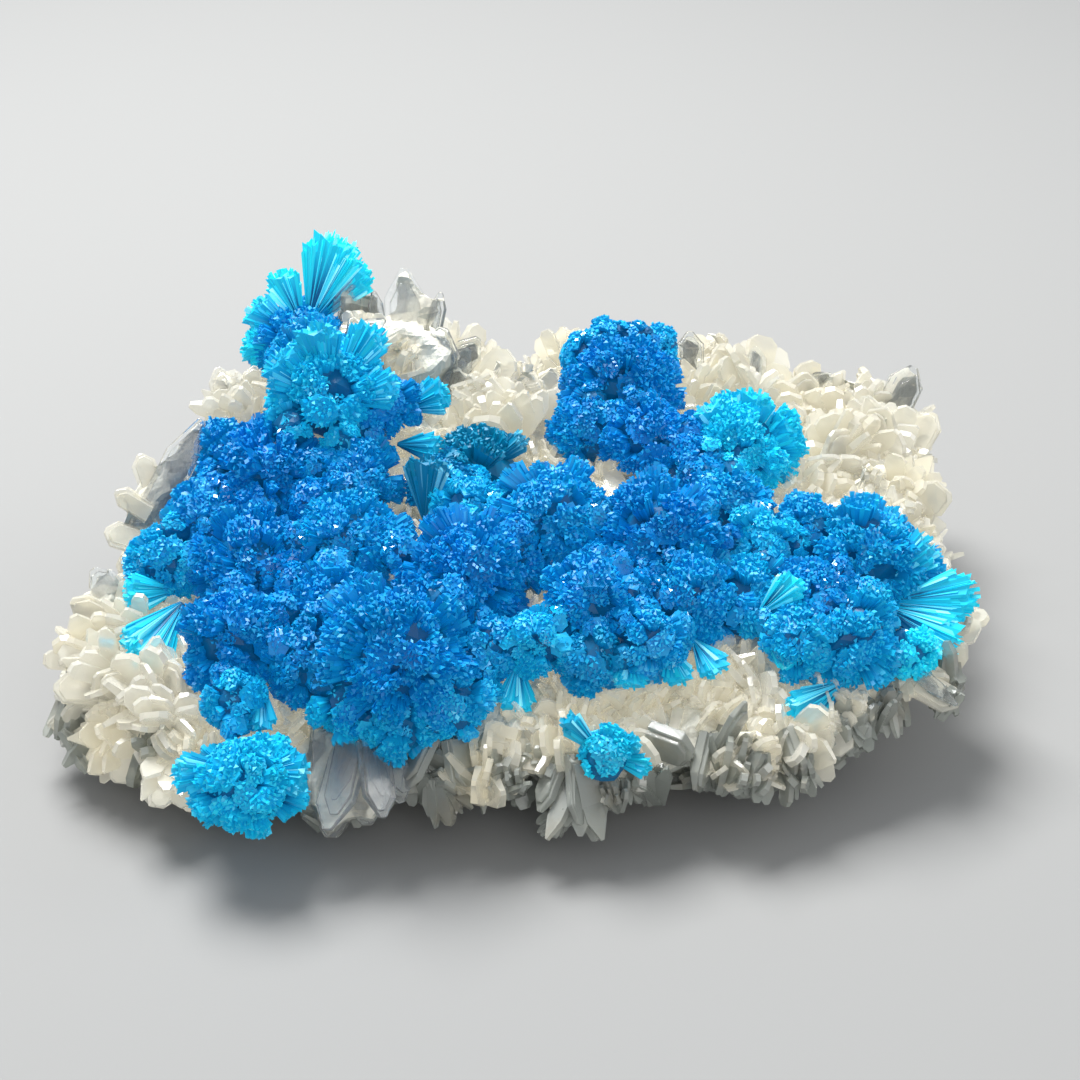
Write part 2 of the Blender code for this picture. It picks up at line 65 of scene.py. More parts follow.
# The sight that the face of the specimen is laid out from: the drawing is a square, and a
# spot of it is (across, down) from its upper left corner
SIGHT_TILT = radians(32)
SIGHT_DISTANCE = 225 * MM
SIGHT_HEIGHT = 18 * MM
DRAWING_SIDE = 1080
DRAWING_ANGLE = radians(30)
MIDDLE = Vector((-2.05 * MM, 1.45 * MM, 0))

RIGHT = Vector((1, 0, 0))
UP = Vector((0, sin(SIGHT_TILT), cos(SIGHT_TILT)))
OUT = Vector((0, -cos(SIGHT_TILT), sin(SIGHT_TILT)))
EYE = Vector((0, 0, SIGHT_HEIGHT)) + SIGHT_DISTANCE * OUT

# The plate's rim as (x, y) and its upper face as (x, y, z), in millimetres
RIM = (
    (-52, -14), (-49, -19), (-44, -23), (-38, -28), (-31, -31), (-24, -32), (-17, -31),
    (-10, -29), (-1, -29), (4, -31), (12, -28), (22, -28), (29, -27), (35, -23), (41, -20),
    (45, -13), (46, -2), (44, 9), (46, 20), (47, 30), (41, 36), (30, 38), (18, 39), (5, 37),
    (-8, 36), (-18, 33), (-28, 28), (-36, 19), (-43, 9), (-47, -1),
)
UPPER_FACE = (
    (-50, -14, 12), (-44, -22, 10), (-34, -28, 10), (-22, -30, 9), (-8, -28, 11),
    (8, -28, 11), (24, -26, 11), (36, -19, 13), (45, -8, 16), (-40, -8, 16), (-28, -14, 17),
    (-10, -14, 18), (10, -14, 18), (28, -10, 17), (40, 4, 18), (-46, 0, 16), (-42, 12, 21),
    (-32, 8, 22), (-14, 4, 22), (6, 4, 21), (24, 6, 19), (-34, 20, 28), (-24, 19, 33),
    (-14, 27, 30), (-2, 22, 23), (-4, 35, 22), (12, 27, 25), (22, 36, 23), (34, 26, 19),
    (46, 26, 18), (44, 34, 18),
)

# Rosettes as (across, down, radius mm, lift mm, lean, tip, spread, cyan, teal). Lean is the
# angle clockwise from upright in the drawing, tip the angle towards the eye, spread the angle
# from the axis to the outermost crystal. Cyan and teal run from 0 to 1, and a teal of 0 is
# left out.
ROSETTES = {
    "cavansite_peak": (
        (302, 346, 6.2, 4, -30, 30, 100, 0.15), (314, 374, 6, 2.5, -30, 30, 100, 0.2),
        (308, 325, 11.6, 4, 20, 8, 22, 1), (312, 325, 9.6, 4, 42, 2, 18, 0.9),
        (303, 327, 7.4, 4, -24, 12, 20, 1), (298, 335, 7, 4, -62, 10, 24, 0.7),
        (292, 352, 6.2, 4, -84, 18, 26, 0.9), (330, 395, 7.4, 3.5, 0, 40, 100, 0.45),
        (333, 392, 9.8, 5.5, 36, 18, 18, 0.6), (330, 397, 9, 6, -12, 24, 22, 0.5),
        (326, 400, 8.4, 6, -54, 24, 22, 0.45), (338, 402, 8.4, 6, 74, 26, 20, 0.5),
        (380, 408, 4.8, 4, 30, 50, 100, 0.1), (402, 410, 6.2, 3.5, 68, 18, 26, 0.6, 0.2),
        (395, 444, 6.2, 5, 96, 25, 20, 0.6, 0.3), (425, 525, 8.2, 1.5, 2, 12, 21, 0.3, 1),
        (470, 512, 4.8, 3, 10, 50, 100, 0.35), (478, 480, 6.4, 0, 8, 6, 52, 0.4, 1),
        (448, 488, 4.6, 2, 0, 60, 110, 0.1, 0.6), (352, 486, 6, 3, 0, 60, 110, 0.1, 0.1),
    ),
    "cavansite_right_back": (
        (620, 386, 7.4, 5, 0, 45, 110, 0.05), (584, 356, 3, 14, -40, 30, 100, 0.3),
        (605, 341, 2.8, 15, -10, 30, 100, 0.3), (632, 342, 2.8, 15, 0, 30, 100, 0.2),
        (658, 347, 3.3, 14, 20, 30, 100, 0.3), (592, 430, 5.4, 3, -20, 45, 100, 0.1),
        (645, 440, 5.6, 5, 10, 50, 100, 0), (740, 452, 7.2, 5, 10, 45, 100, 0.6),
        (736, 454, 7.6, 6, -34, 22, 22, 0.6), (741, 454, 8.2, 6, 10, 20, 22, 0.7),
        (745, 456, 7.2, 6, 52, 20, 22, 0.8), (692, 480, 5.6, 3, 0, 60, 110, 0.1),
        (720, 510, 5.6, 3, 0, 60, 110, 0.2),
    ),
    "cavansite_left_field": (
        (234, 464, 5.4, 3, -15, 50, 110, 0.1), (272, 480, 7.4, 3, 0, 50, 110, 0),
        (172, 565, 5.6, 3, -60, 40, 110, 0.3), (185, 600, 8.8, 3, -143, 20, 24, 0.75),
        (178, 590, 6.2, 3, -95, 18, 24, 0.8), (205, 525, 5.6, 3, -30, 60, 110, 0.1),
        (255, 570, 7.6, 3, -30, 60, 110, 0.05), (238, 640, 6.4, 3, -60, 50, 110, 0.05),
        (236, 700, 3.6, 5, 190, 50, 110, 0.3), (262, 682, 5.6, 5, 176, 18, 16, 0.5, 0.3),
        (350, 545, 7.2, 3, 0, 60, 110, 0.15), (330, 610, 6, 3, -30, 70, 110, 0.1),
        (310, 662, 5.4, 3, -20, 60, 110, 0.1, 0.2),
    ),
    "cavansite_middle_field": (
        (398, 655, 8.4, 5, 180, 70, 110, 0.1), (352, 700, 5.2, 3, 190, 60, 110, 0.4),
        (400, 722, 4.4, 3, 180, 50, 110, 0.3, 0.2), (465, 580, 7.8, 5, 20, 70, 110, 0.05),
        (508, 560, 5.4, 3, 0, 60, 110, 0.1), (552, 520, 6.8, 5, 0, 50, 110, 0.15),
        (606, 548, 5.6, 3, 0, 60, 110, 0.1), (538, 640, 4, 5, 0, 60, 100, 0.35),
        (488, 648, 4.4, 3, 180, 60, 110, 0.2), (518, 660, 5.8, 3, 182, 20, 24, 0.7),
        (448, 700, 5.4, 3, 180, 60, 110, 0.3),
    ),
    "cavansite_front_field": (
        (655, 545, 8, 5, 0, 60, 110, 0.05), (592, 602, 5.8, 5, 0, 70, 110, 0.1),
        (642, 602, 5.2, 3, 0, 60, 110, 0.1), (592, 655, 4.4, 3, 180, 60, 110, 0.2, 0.3),
        (630, 655, 3.9, 3, 182, 25, 34, 0.6), (650, 640, 4.4, 3, 180, 60, 110, 0.2),
        (668, 648, 4.4, 3, 160, 22, 26, 0.6), (692, 638, 5.2, 3, 142, 22, 24, 0.6),
        (690, 602, 6.4, 3, 180, 70, 110, 0.15), (745, 600, 5.6, 1.5, 150, 70, 110, 0.3),
        (760, 618, 7, 3, 92, 20, 30, 0.9), (756, 616, 6.8, 4, 46, 26, 18, 0.9),
        (758, 622, 6.6, 4, 138, 24, 18, 0.9), (762, 545, 4.4, 5, 30, 50, 100, 0.4),
    ),
    "cavansite_right_end": (
        (802, 540, 5.4, 3, 0, 60, 110, 0.2), (815, 602, 5.4, 3, 0, 60, 110, 0.1),
        (800, 640, 4.6, 3, 170, 60, 110, 0.3), (862, 565, 7.8, 3, 20, 55, 110, 0.25),
        (885, 602, 10.2, 3, 84, 8, 19, 0.8), (882, 605, 9.4, 3, 118, 12, 20, 0.8),
        (872, 590, 8.6, 3, 48, 6, 19, 0.6, 0.2), (845, 638, 6.2, 3, 150, 60, 110, 0.3),
        (905, 655, 4, 1.5, 130, 50, 100, 0.8), (850, 680, 8, 1.5, 246, 14, 14, 0.7),
        (845, 682, 6.6, 1.5, 224, 16, 15, 0.6, 0.2),
    ),
    "cavansite_low_left_rosette": (
        (245, 782, 5.8, 3, 190, 55, 120, 0.5), (236, 770, 6.4, 3, -94, 18, 24, 0.5),
        (258, 772, 5.8, 3, 88, 20, 28, 0.5, 0.2),
    ),
    "cavansite_star": (
        (605, 757, 6.4, 1.5, -45, 14, 13, 0.6, 0.5), (605, 757, 3.4, 1.5, 0, 45, 70, 0.6, 0.3),
        (606, 757, 4.2, 1.5, 58, 18, 20, 0.6, 0.4), (606, 757, 4.9, 1.5, 102, 14, 18, 0.7, 0.3),
        (604, 758, 2.9, 1.5, -120, 30, 24, 0.8, 0.2),
    ),
    "cavansite_sprig_crystals": (
        (107, 654, 2, 1.5, -12, 30, 14, 0.6, 0.4), (107, 654, 2.1, 1.5, 16, 30, 14, 0.6, 0.4),
    ),
}
CRUST = "cavansite_crust"
LOOSE_NODES = {
    "cavansite_low_left_rosette": "cavansite_low_left", "cavansite_star": "cavansite_front_star",
    "cavansite_sprig_crystals": "cavansite_sprig",
}

# Clear blades as (across, down, width, length, thickness, lean, tip, turn, lift), without a
# lift of 0
CLEAR_BLADES = (
    (406, 352, 4.8, 9.8, 1.5, 0, 8, 8, 2), (342, 338, 3.3, 7.4, 1.1, 14, 10, 20, 6),
    (378, 336, 2.6, 6.2, 1, -8, 8, 40, 5), (432, 336, 2.2, 5.2, 0.9, 14, 6, -30, 5),
    (348, 342, 2.4, 5.4, 1, 62, 22, 30, 3), (430, 388, 5.2, 7.8, 1.3, 16, 24, -12),
    (414, 378, 3.4, 7, 1, -6, 26, 20), (452, 372, 3.4, 5.4, 1.1, 40, 20, 15),
    (444, 392, 3, 6.4, 0.9, 34, 28, 10), (368, 362, 3.2, 5.4, 1.1, -20, 14, 30, 2),
    (148, 527, 4.2, 13.6, 1.5, 27, 4, 14, 1.5), (338, 745, 5.8, 9.4, 1.9, 184, 14, 8, 1.5),
    (362, 742, 5.2, 8.6, 1.6, 176, 22, -14, 1.5), (322, 760, 3.4, 5.6, 1.2, 200, 8, 20, 0.5),
    (350, 752, 4.6, 8.6, 1.1, 192, 30, 34, 2.5), (374, 756, 3.6, 6.8, 1, 166, 30, -38, 2),
    (388, 752, 3.6, 5.4, 1.2, 160, 16, -30, 0.5), (892, 412, 4.4, 6.2, 2.2, 24, 10, 24),
    (903, 660, 1.6, 7.4, 1.1, 132, 22, 20, 1.5), (895, 655, 1.2, 4.4, 0.8, 118, 26, -20, 1.5),
    (118, 600, 3.4, 4.4, 1.1, -38, 14, 10), (690, 372, 3.6, 5, 1.1, -4, 8, 18),
    (754, 382, 2.8, 4.4, 1.1, 2, 8, -10), (795, 388, 1.9, 4.8, 1, 68, 12, 30),
)

# Cream blades: the larger ones round the edge
CREAM_BLADES = (
    (545, 402, 3.4, 4.2, 1.2, 12, 10, 20), (228, 402, 3, 4.2, 1.2, -18, 10, 10),
    (248, 394, 2.4, 3.4, 1.1, 12, 10, 30), (262, 402, 2.2, 4.2, 1.1, 128, 30, 20),
    (150, 482, 2.8, 3.4, 1.2, -20, 10, 10), (138, 506, 2.4, 3, 1.2, -60, 10, -10),
    (132, 540, 3, 3.2, 1.3, -70, 16, 20), (104, 618, 3.2, 4, 1.2, -62, 14, -14),
    (88, 655, 2, 4, 1.2, -66, 18, 0), (84, 690, 3.2, 3.2, 1.2, -84, 18, 20),
    (78, 722, 2.6, 3.2, 1.2, -96, 14, -20), (96, 742, 3.2, 3, 1.3, -118, 10, 10),
    (132, 762, 3, 2.8, 1.2, -136, 8, 0), (180, 786, 3.2, 3.6, 1.3, 128, 8, 20),
    (150, 720, 4.2, 4.8, 1.2, 56, 44, 20), (170, 690, 4, 4.8, 1.2, 40, 50, -30),
    (120, 690, 3.6, 4.4, 1.2, -40, 56, 10), (945, 672, 2.4, 3.8, 1.4, 30, 12, 10),
    (930, 690, 3, 3.4, 1.3, 120, 12, -10), (828, 392, 1.8, 3.4, 1.1, 36, 10, 0),
    (866, 405, 2.6, 4, 1.1, -6, 8, 15), (918, 442, 3.4, 4, 1.2, 30, 10, -20),
    (915, 500, 4.2, 4.2, 1.5, 84, 16, 10), (840, 460, 4.6, 5.2, 1.3, -30, 50, 20),
    (870, 440, 4.2, 5.2, 1.3, 24, 46, -20), (800, 400, 4, 4.2, 1.3, 10, 40, 20),
    (580, 452, 3.6, 4.4, 1.2, -10, 36, 20), (612, 480, 2.8, 3.6, 1.1, 150, 40, -10),
)

# Blades of the front wall, greyer by painted shade, seen from their narrow sides
WALL_BLADES = (
    (424, 752, 3, 4.2, 1.3, 205, 18, 62), (456, 756, 3.4, 4, 1.4, 168, 14, -58),
    (556, 768, 2.6, 4.8, 1.3, 200, 14, 56), (576, 772, 3, 5.4, 1.2, 178, 16, -52),
    (600, 766, 2.4, 4.4, 1.1, 154, 20, 60), (664, 742, 4.2, 3.4, 1.8, 108, 22, 48),
    (704, 750, 2.8, 4.4, 1.4, 196, 22, -64), (726, 736, 2.4, 4.8, 1.1, 26, 30, 58),
    (790, 745, 3, 4, 1.4, 160, 18, 66),
)

# Sprays of thin cream blades as (across, down, size mm, lift, lean, tip, spread, count): the
# sheaf between the two blue groups, the foot of the tall cluster, the right back and the left
SPRAYS = (
    (506, 430, 8.6, 0, -6, 20, 40, 34), (474, 416, 6.4, 0, -30, 20, 36, 18),
    (540, 412, 6, 0, 24, 20, 40, 18), (404, 372, 8, 0, 8, 26, 44, 26),
    (452, 392, 6.6, 0, 30, 24, 40, 20), (238, 408, 6.2, 0, -16, 20, 50, 24),
    (700, 392, 6.4, 0, -6, 22, 50, 24), (748, 396, 6, 0, 10, 24, 50, 22),
    (800, 412, 7.4, 0, 0, 30, 56, 30), (842, 452, 7.8, 0, -16, 44, 60, 34),
    (884, 440, 7.4, 0, 24, 36, 56, 30), (905, 492, 6.6, 0, 60, 30, 54, 26),
    (872, 404, 6.2, 0, 0, 20, 50, 22), (136, 690, 7.8, 0, -36, 44, 60, 34),
    (174, 716, 7, 0, 30, 44, 60, 28), (100, 676, 6.6, 0, -70, 26, 54, 26),
    (112, 742, 6.2, 0, -120, 24, 54, 24), (128, 626, 6, 0, -50, 26, 50, 22),
    (168, 768, 6, 0, 170, 24, 50, 22),
)

# The share of a rosette's radius that its core fills, and the spread in degrees below which
# it is a fan
CORE = 0.7
BALL_SPREAD = 40
# Where a sheaf's crystals start, as a share of their reach, how much shorter the short ones
# are, how round its end is and how close they stand
BALL_FORM = (0.5, 0.09, 0.05, 0.66)
FAN_FORM = (0.1, 0.2, 0.1, 1.1)
GOLDEN_ANGLE = radians(137.5)
MOST_CRYSTALS = 170

# The front wall is this far below the upper face, and in front of this y. Plates may stand
# out of the solids' box by the slack.
WALL_DROP = 2.5 * MM
WALL_BACK = -8 * MM
SLACK = 0.5 * MM
BLADE_FOOT = 1.6 * MM
BLADE_BEVEL = 0.08 * MM


class SpecimenSettings(bpy.types.PropertyGroup):
    """Sizes and colours of the specimen's fine crystals."""

    crystal_width: FloatProperty(
        name="Crystal width", description="Width of a cavansite crystal of a rosette at its tip",
        default=0.47 * MM, min=0.2 * MM, unit="LENGTH",
    )
    sheaf_pitch: FloatProperty(
        name="Sheaf pitch", description="Distance between the sheaves that make up a rosette",
        default=3.3 * MM, min=1 * MM, unit="LENGTH",
    )
    plate_length: FloatProperty(
        name="Stilbite plate length",
        description="Mean length of the small stilbite plates that crust the matrix", default=3.3 * MM,
        min=1 * MM, unit="LENGTH",
    )
    plate_count: IntProperty(
        name="Stilbite pairs", description="How many pairs of small stilbite plates crust the matrix",
        default=1500, min=100, subtype="UNSIGNED",
    )
    spray_count: IntProperty(
        name="Stilbite sprays",
        description="How many sprays of larger stilbite plates crust the matrix", default=260, min=10,
        subtype="UNSIGNED",
    )
    # The plates of the front wall are grey by painted shade
    wall_sprays: IntProperty(
        name="Front wall sprays",
        description="How many hanging sprays of grey plates crust the front wall", default=170, min=10,
        subtype="UNSIGNED",
    )
    azure: FloatVectorProperty(
        name="Azure", description="Colour of the cavansite's crystals", default=(0.0, 0.2, 0.56), min=0,
        max=1, subtype="COLOR",
    )
    cyan: FloatVectorProperty(
        name="Cyan", description="Colour of the longer cavansite crystals towards their tips",
        default=(0.02, 0.85, 0.97), min=0, max=1, subtype="COLOR",
    )
    cream: FloatVectorProperty(
        name="Cream", description="Colour of the stilbite", default=(0.92, 0.88, 0.75), min=0, max=1,
        subtype="COLOR",
    )


class Value:
    """A shader socket that can be used in sums."""

    def __init__(self, maker, socket):
        self.maker = maker
        self.socket = socket

    def sum_with(self, operation, first, second):
        return self.maker.node("Math", {"operation": operation}, {0: first, 1: second})

    def __add__(self, other):
        return self.sum_with("ADD", self, other)

    __radd__ = __add__

    def __mul__(self, other):
        return self.sum_with("MULTIPLY", self, other)

    def __rsub__(self, other):
        return self.sum_with("SUBTRACT", other, self)


class Finish:
    """A material under construction."""

    def __init__(self, name):
        self.material = bpy.data.materials.new(name)
        self.material.use_nodes = True
        self.tree = self.material.node_tree
        self.shader = self.tree.nodes["Principled BSDF"]

    def node(self, kind, settings=None, values=None, output=0):
        """Adds a node, fills its sockets and gives one of its outputs."""
        node = self.tree.nodes.new("ShaderNode" + kind)
        for name, value in (settings or {}).items():
            setattr(node, name, value)
        for name, value in (values or {}).items():
            self.fill(node.inputs[name], value)
        return Value(self, node.outputs[output])

    def fill(self, socket, value):
        if isinstance(value, Value):
            self.tree.links.new(value.socket, socket)
        elif isinstance(value, (tuple, list)) and len(value) == 3 and socket.type == "RGBA":
            socket.default_value = (*value, 1)
        else:
            socket.default_value = value

    def set(self, **values):
        """Fills the shader's own sockets, named with underscores for spaces."""
        for name, value in values.items():
            self.fill(self.shader.inputs[name.replace("_", " ")], value)
        return self.material

    def attribute(self, name):
        return self.node("Attribute", {"attribute_name": name}, output=2)

    def place(self):
        return self.node("TexCoord", output=3)

    def noise(self, size, detail=3.0, roughness=0.55, place=None):
        """Soft noise whose features are about this size, in metres."""
        values = {"Scale": 1 / size, "Detail": detail, "Roughness": roughness}
        return self.node("TexNoise", None, {"Vector": place or self.place(), **values})

    def blend(self, share, first, second):
        """A mix of two colours."""
        sockets = {0: share, 6: first, 7: second}
        return self.node("Mix", {"data_type": "RGBA"}, sockets, output=2)

    def scaled(self, colour, factor):
        """A colour made brighter or darker by a factor."""
        return self.node("VectorMath", {"operation": "SCALE"}, {0: colour, 3: factor})

    def steps(self, value, low, high):
        """Runs smoothly from 0 to 1 as value goes from low to high."""
        return self.node(
            "MapRange", {"interpolation_type": "SMOOTHSTEP"},
            {"Value": value, "From Min": low, "From Max": high},
        )

    def bump(self, height, strength, distance):
        values = {"Strength": strength, "Distance": distance, "Height": height}
        return self.node("Bump", None, values)


def material_of(build):
    """The material that a function builds, named after it and built when first asked for."""
    return bpy.data.materials.get(build.__name__) or build(Finish(build.__name__))


def settings():
    return bpy.context.scene.specimen


def upper_face(x, y):
    """Height of the plate's upper face over arrays of places, in metres."""
    known = np.array(UPPER_FACE, float)
    apart = np.hypot(x[:, None] / MM - known[:, 0], y[:, None] / MM - known[:, 1])
    weight = 1 / (apart + 1.5) ** 3
    return (weight * known[:, 2]).sum(1) / weight.sum(1) * MM


def within_rim(x, y):
    """Which of these places are over the plate."""
    inside = np.zeros(len(x), bool)
    for (x1, y1), (x2, y2) in zip(RIM, RIM[1:] + RIM[:1]):
        if y1 == y2:
            continue
        between = (y1 * MM > y) != (y2 * MM > y)
        inside ^= between & (x < (x1 + (x2 - x1) * (y / MM - y1) / (y2 - y1)) * MM)
    return inside


def direction(lean, tip):
    """The direction that leans this far from upright and tips this far towards the eye."""
    lean, tip = radians(lean), radians(tip)
    in_face = UP * cos(lean) + RIGHT * sin(lean)
    return in_face * cos(tip) + OUT * sin(tip)


def seat(across, down, lift=0.0):
    """Where the sight line through a spot meets the plate, drawn back to the eye by lift mm."""
    step = 2 * tan(DRAWING_ANGLE / 2) / DRAWING_SIDE
    middle = DRAWING_SIDE / 2
    line = -OUT + RIGHT * (across - middle) * step + UP * (middle - down) * step
    reach = np.arange(150, 300, 0.5) * MM
    x, y, z = (EYE[i] + line[i] * reach for i in range(3))
    clearance = np.where(within_rim(x, y), z - upper_face(x, y), np.inf)
    below = np.nonzero(clearance <= 0)[0]
    met = below[0] if len(below) else int(np.argmin(clearance))
    return Vector((x[met], y[met], z[met])) - line.normalized() * (lift * MM) - MIDDLE


def unit(vectors):
    return vectors / np.linalg.norm(vectors, axis=-1, keepdims=True)


def squared(vectors, along):
    """These vectors made square to the directions beside them, and of length 1."""
    return unit(vectors - along * (vectors * along).sum(-1, keepdims=True))


class Swarm:
    """Many copies of small modelled crystals, gathered into one mesh."""

    def __init__(self):
        self.points, self.faces, self.marks = [], [], {}
        self.count = 0

    def add(self, crystals, root, tip, side, width, depth, draw, **marks):
        """Sets a crystal, modelled 1 by 1 by 1, from each root to its tip, its width along side.

        A mark is a number for each copy, or a pair of them, for its foot and its end.
        """
        kinds = draw.integers(0, len(crystals), len(root))
        length = np.linalg.norm(tip - root, axis=1)
        along = (tip - root) / length[:, None]
        side = squared(side, along)
        axes = np.stack(
            (side * width[:, None], np.cross(along, side) * depth[:, None], tip - root), axis=1
        )
        for kind, (points, faces) in enumerate(crystals):
            own = np.nonzero(kinds == kind)[0]
            if not len(own):
                continue
            placed = root[own, None] + np.einsum("pk,nkc->npc", points, axes[own])
            copies = np.arange(len(own))[:, None, None] * len(points)
            self.points.append(placed.reshape(-1, 3))
            self.faces.append((faces[None] + copies + self.count).reshape(-1, 3))
            self.count += len(own) * len(points)
            height = np.clip(points[:, 2], 0, 1)
            for name, value in marks.items():
                foot, end = value if isinstance(value, tuple) else (value, value)
                foot = np.broadcast_to(foot, len(root))[own, None]
                end = np.broadcast_to(end, len(root))[own, None]
                value = foot + (end - foot) * height[None]
                self.marks.setdefault(name, []).append(value.reshape(-1))

    def add_ball(self, ball, middle, radius, **marks):
        """Adds a modelled ball at this middle, with the same marks all over."""
        points, faces = ball
        self.points.append(points * radius + np.array(middle))
        self.faces.append(faces + self.count)
        self.count += len(points)
        for name, value in marks.items():
            self.marks.setdefault(name, []).append(np.full(len(points), value))

    def finish(self, name, build, slot, *nodes):
        """Makes the one mesh of it all, with its marks as attributes."""
        points, faces = np.concatenate(self.points), np.concatenate(self.faces)
        mesh = bpy.data.meshes.new(name)
        mesh.from_pydata(points.astype(np.float32), [], faces)
        mesh.shade_flat()
        for mark, values in self.marks.items():
            attribute = mesh.attributes.new(mark, "FLOAT", "POINT")
            attribute.data.foreach_set("value", np.concatenate(values).astype(np.float32))
        piece = bpy.data.objects.new(name, mesh)
        link(piece)
        return dress(piece, build, slot, *nodes)


def numbers_of(items, name, width):
    """A value of every face or corner of a mesh, in rows of this width."""
    flat = np.empty(len(items) * width)
    items.foreach_get(name, flat)
    return flat.reshape(-1, width)


def dress(piece, build, slot, *nodes):
    """Gives a finished piece its material and ties it to the frame."""
    piece.data.materials.clear()
    piece.data.materials.append(material_of(build))
    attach(piece, "root")
    if nodes:
        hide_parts(*nodes)
    return piece


def link(piece):
    bpy.context.scene.collection.objects.link(piece)


def switch_to(mode):
    bpy.ops.object.mode_set(mode=mode)


def clean_slate():
    """Deselects everything before a primitive is added."""
    if bpy.context.object and bpy.context.object.mode != "OBJECT":
        switch_to("OBJECT")
    bpy.ops.object.select_all(action="DESELECT")


def edit_by(kind):
    """Applies the new object's place and size, then edits it by FACE or VERT."""
    bpy.ops.object.transform_apply()
    switch_to("EDIT")
    bpy.ops.mesh.select_mode(type=kind)


def select(chosen):
    """In edit mode, selects only the corners that a rule chooses, and the faces between them."""
    switch_to("OBJECT")
    mesh = bpy.context.object.data
    picked = {vert.index for vert in chosen(mesh.vertices)}
    for face in mesh.polygons:
        face.select = picked.issuperset(face.vertices)
    for edge in mesh.edges:
        edge.select = False
    for vert in mesh.vertices:
        vert.select = vert.index in picked
    switch_to("EDIT")


def select_top(above):
    select(lambda corners: [corner for corner in corners if corner.co.z > above])


def select_near(spot):
    select(lambda corners: [min(corners, key=lambda corner: (corner.co - spot).length)])


def taken_shape():
    """Triangulates the object being modelled, and takes its points and faces away."""
    bpy.ops.mesh.select_all(action="SELECT")
    bpy.ops.mesh.quads_convert_to_tris()
    bpy.ops.mesh.normals_make_consistent(inside=False)
    switch_to("OBJECT")
    model = bpy.context.object
    mesh = model.data
    points = np.array([vert.co[:] for vert in mesh.vertices])
    faces = np.array([face.vertices[:] for face in mesh.polygons])
    bpy.data.objects.remove(model)
    bpy.data.meshes.remove(mesh)
    return points, faces


def model_needle(sides, foot, slant, turned):
    """Models one cavansite crystal: a prism that widens upwards, cut off at a slant."""
    clean_slate()
    bpy.ops.mesh.primitive_cone_add(
        vertices=sides, radius1=0.6 * foot, radius2=0.6, depth=1, location=(0, 0, 0.5)
    )
    edit_by("FACE")
    select_top(0.9)
    bpy.ops.transform.rotate(value=slant, orient_axis="X" if turned else "Y", center_override=(0, 0, 1))
    return taken_shape()


def model_wedge(flutes, ends):
    """Models the fused body of a sheaf: a fluted cone on its point, with a broken end.

    Ends says how far each of its flutes falls short of the whole height.
    """
    clean_slate()
    bpy.ops.mesh.primitive_cone_add(
        vertices=2 * flutes, radius1=0.07, radius2=0.5, depth=1, location=(0, 0, 0.5)
    )
    edit_by("VERT")
    for flute in range(flutes):
        for side, size, fall in ((0, 1.0, ends[flute]), (1, 0.8, 0.5 * ends[flute] + 0.02)):
            turn = pi * (2 * flute + side) / flutes
            spot = Vector((0.5 * sin(turn), 0.5 * cos(turn), 1))
            select_near(spot)
            bpy.ops.transform.translate(value=(spot.x * (size - 1), spot.y * (size - 1), -fall))
    return taken_shape()


def model_plate(shoulder, tip_size, tip_depth):
    """Models one stilbite plate: a flat slab that narrows from its shoulders to its end."""
    clean_slate()
    bpy.ops.mesh.primitive_cube_add(size=1, location=(0, 0, 0.5 * shoulder))
    bpy.ops.transform.resize(value=(1, 1, shoulder))
    edit_by("FACE")
    select_top(shoulder - 0.01)
    bpy.ops.mesh.extrude_region_move(TRANSFORM_OT_translate={"value": (0, 0, 1 - shoulder)})
    bpy.ops.transform.resize(value=(tip_size, tip_depth, 1))
    return taken_shape()


def model_ball(detail):
    """Models a faceted ball, for the heart of a rosette."""
    clean_slate()
    bpy.ops.mesh.primitive_ico_sphere_add(subdivisions=detail, radius=1)
    switch_to("EDIT")
    return taken_shape()


def rosette_places():
    """Middle, radius, axis and spread of every rosette."""
    everything = [row for rows in ROSETTES.values() for row in rows]
    middles = np.array([seat(r[0], r[1], r[3])[:] for r in everything])
    radii = np.array([r[2] * MM for r in everything])
    axes = np.array([direction(r[4], r[5])[:] for r in everything])
    spreads = np.radians([r[6] for r in everything])
    return middles, radii, axes, spreads


def hidden(points, places, depth, own=None):
    """Which points lie inside a round rosette, deeper than this share of its radius."""
    middles, radii, axes, spreads = places
    apart = points[:, None] - middles[None]
    away = np.linalg.norm(apart, axis=2) + 1e-9
    lean = (apart * axes[None]).sum(2) / away
    inside = (away < radii * depth) & (lean > np.cos(spreads))
    inside &= spreads > radians(BALL_SPREAD)
    if own is not None:
        inside &= ~own[None]
    return inside.any(1)


def under_plate(points, sunk):
    """Which points lie this far below the plate's upper face."""
    x, y = points[:, 0] + MIDDLE.x, points[:, 1] + MIDDLE.y
    return within_rim(x, y) & (points[:, 2] < upper_face(x, y) - sunk)


def free_of(places, depth, sunk, own=None):
    """A test for tips that stick out of the other rosettes and of the plate."""
    return lambda tips: ~hidden(tips, places, depth, own) & ~under_plate(tips, sunk)


def cap_directions(axis, spread, count, draw):
    """Directions spread evenly over the cap round an axis, each pushed a little at random."""
    steps = np.arange(count) + 0.5
    height = 1 - (1 - cos(spread)) * steps / count
    turn = GOLDEN_ANGLE * steps + draw.uniform(0, tau)
    out = np.sqrt(np.maximum(0, 1 - height**2))
    side = squared(draw.normal(size=(1, 3)), axis[None])
    other = np.cross(axis[None], side)
    spot = (
        axis * height[:, None]
        + side * (out * np.cos(turn))[:, None]
        + other * (out * np.sin(turn))[:, None]
    )
    return unit(spot + draw.normal(0, 0.3 * spread / sqrt(count), spot.shape))


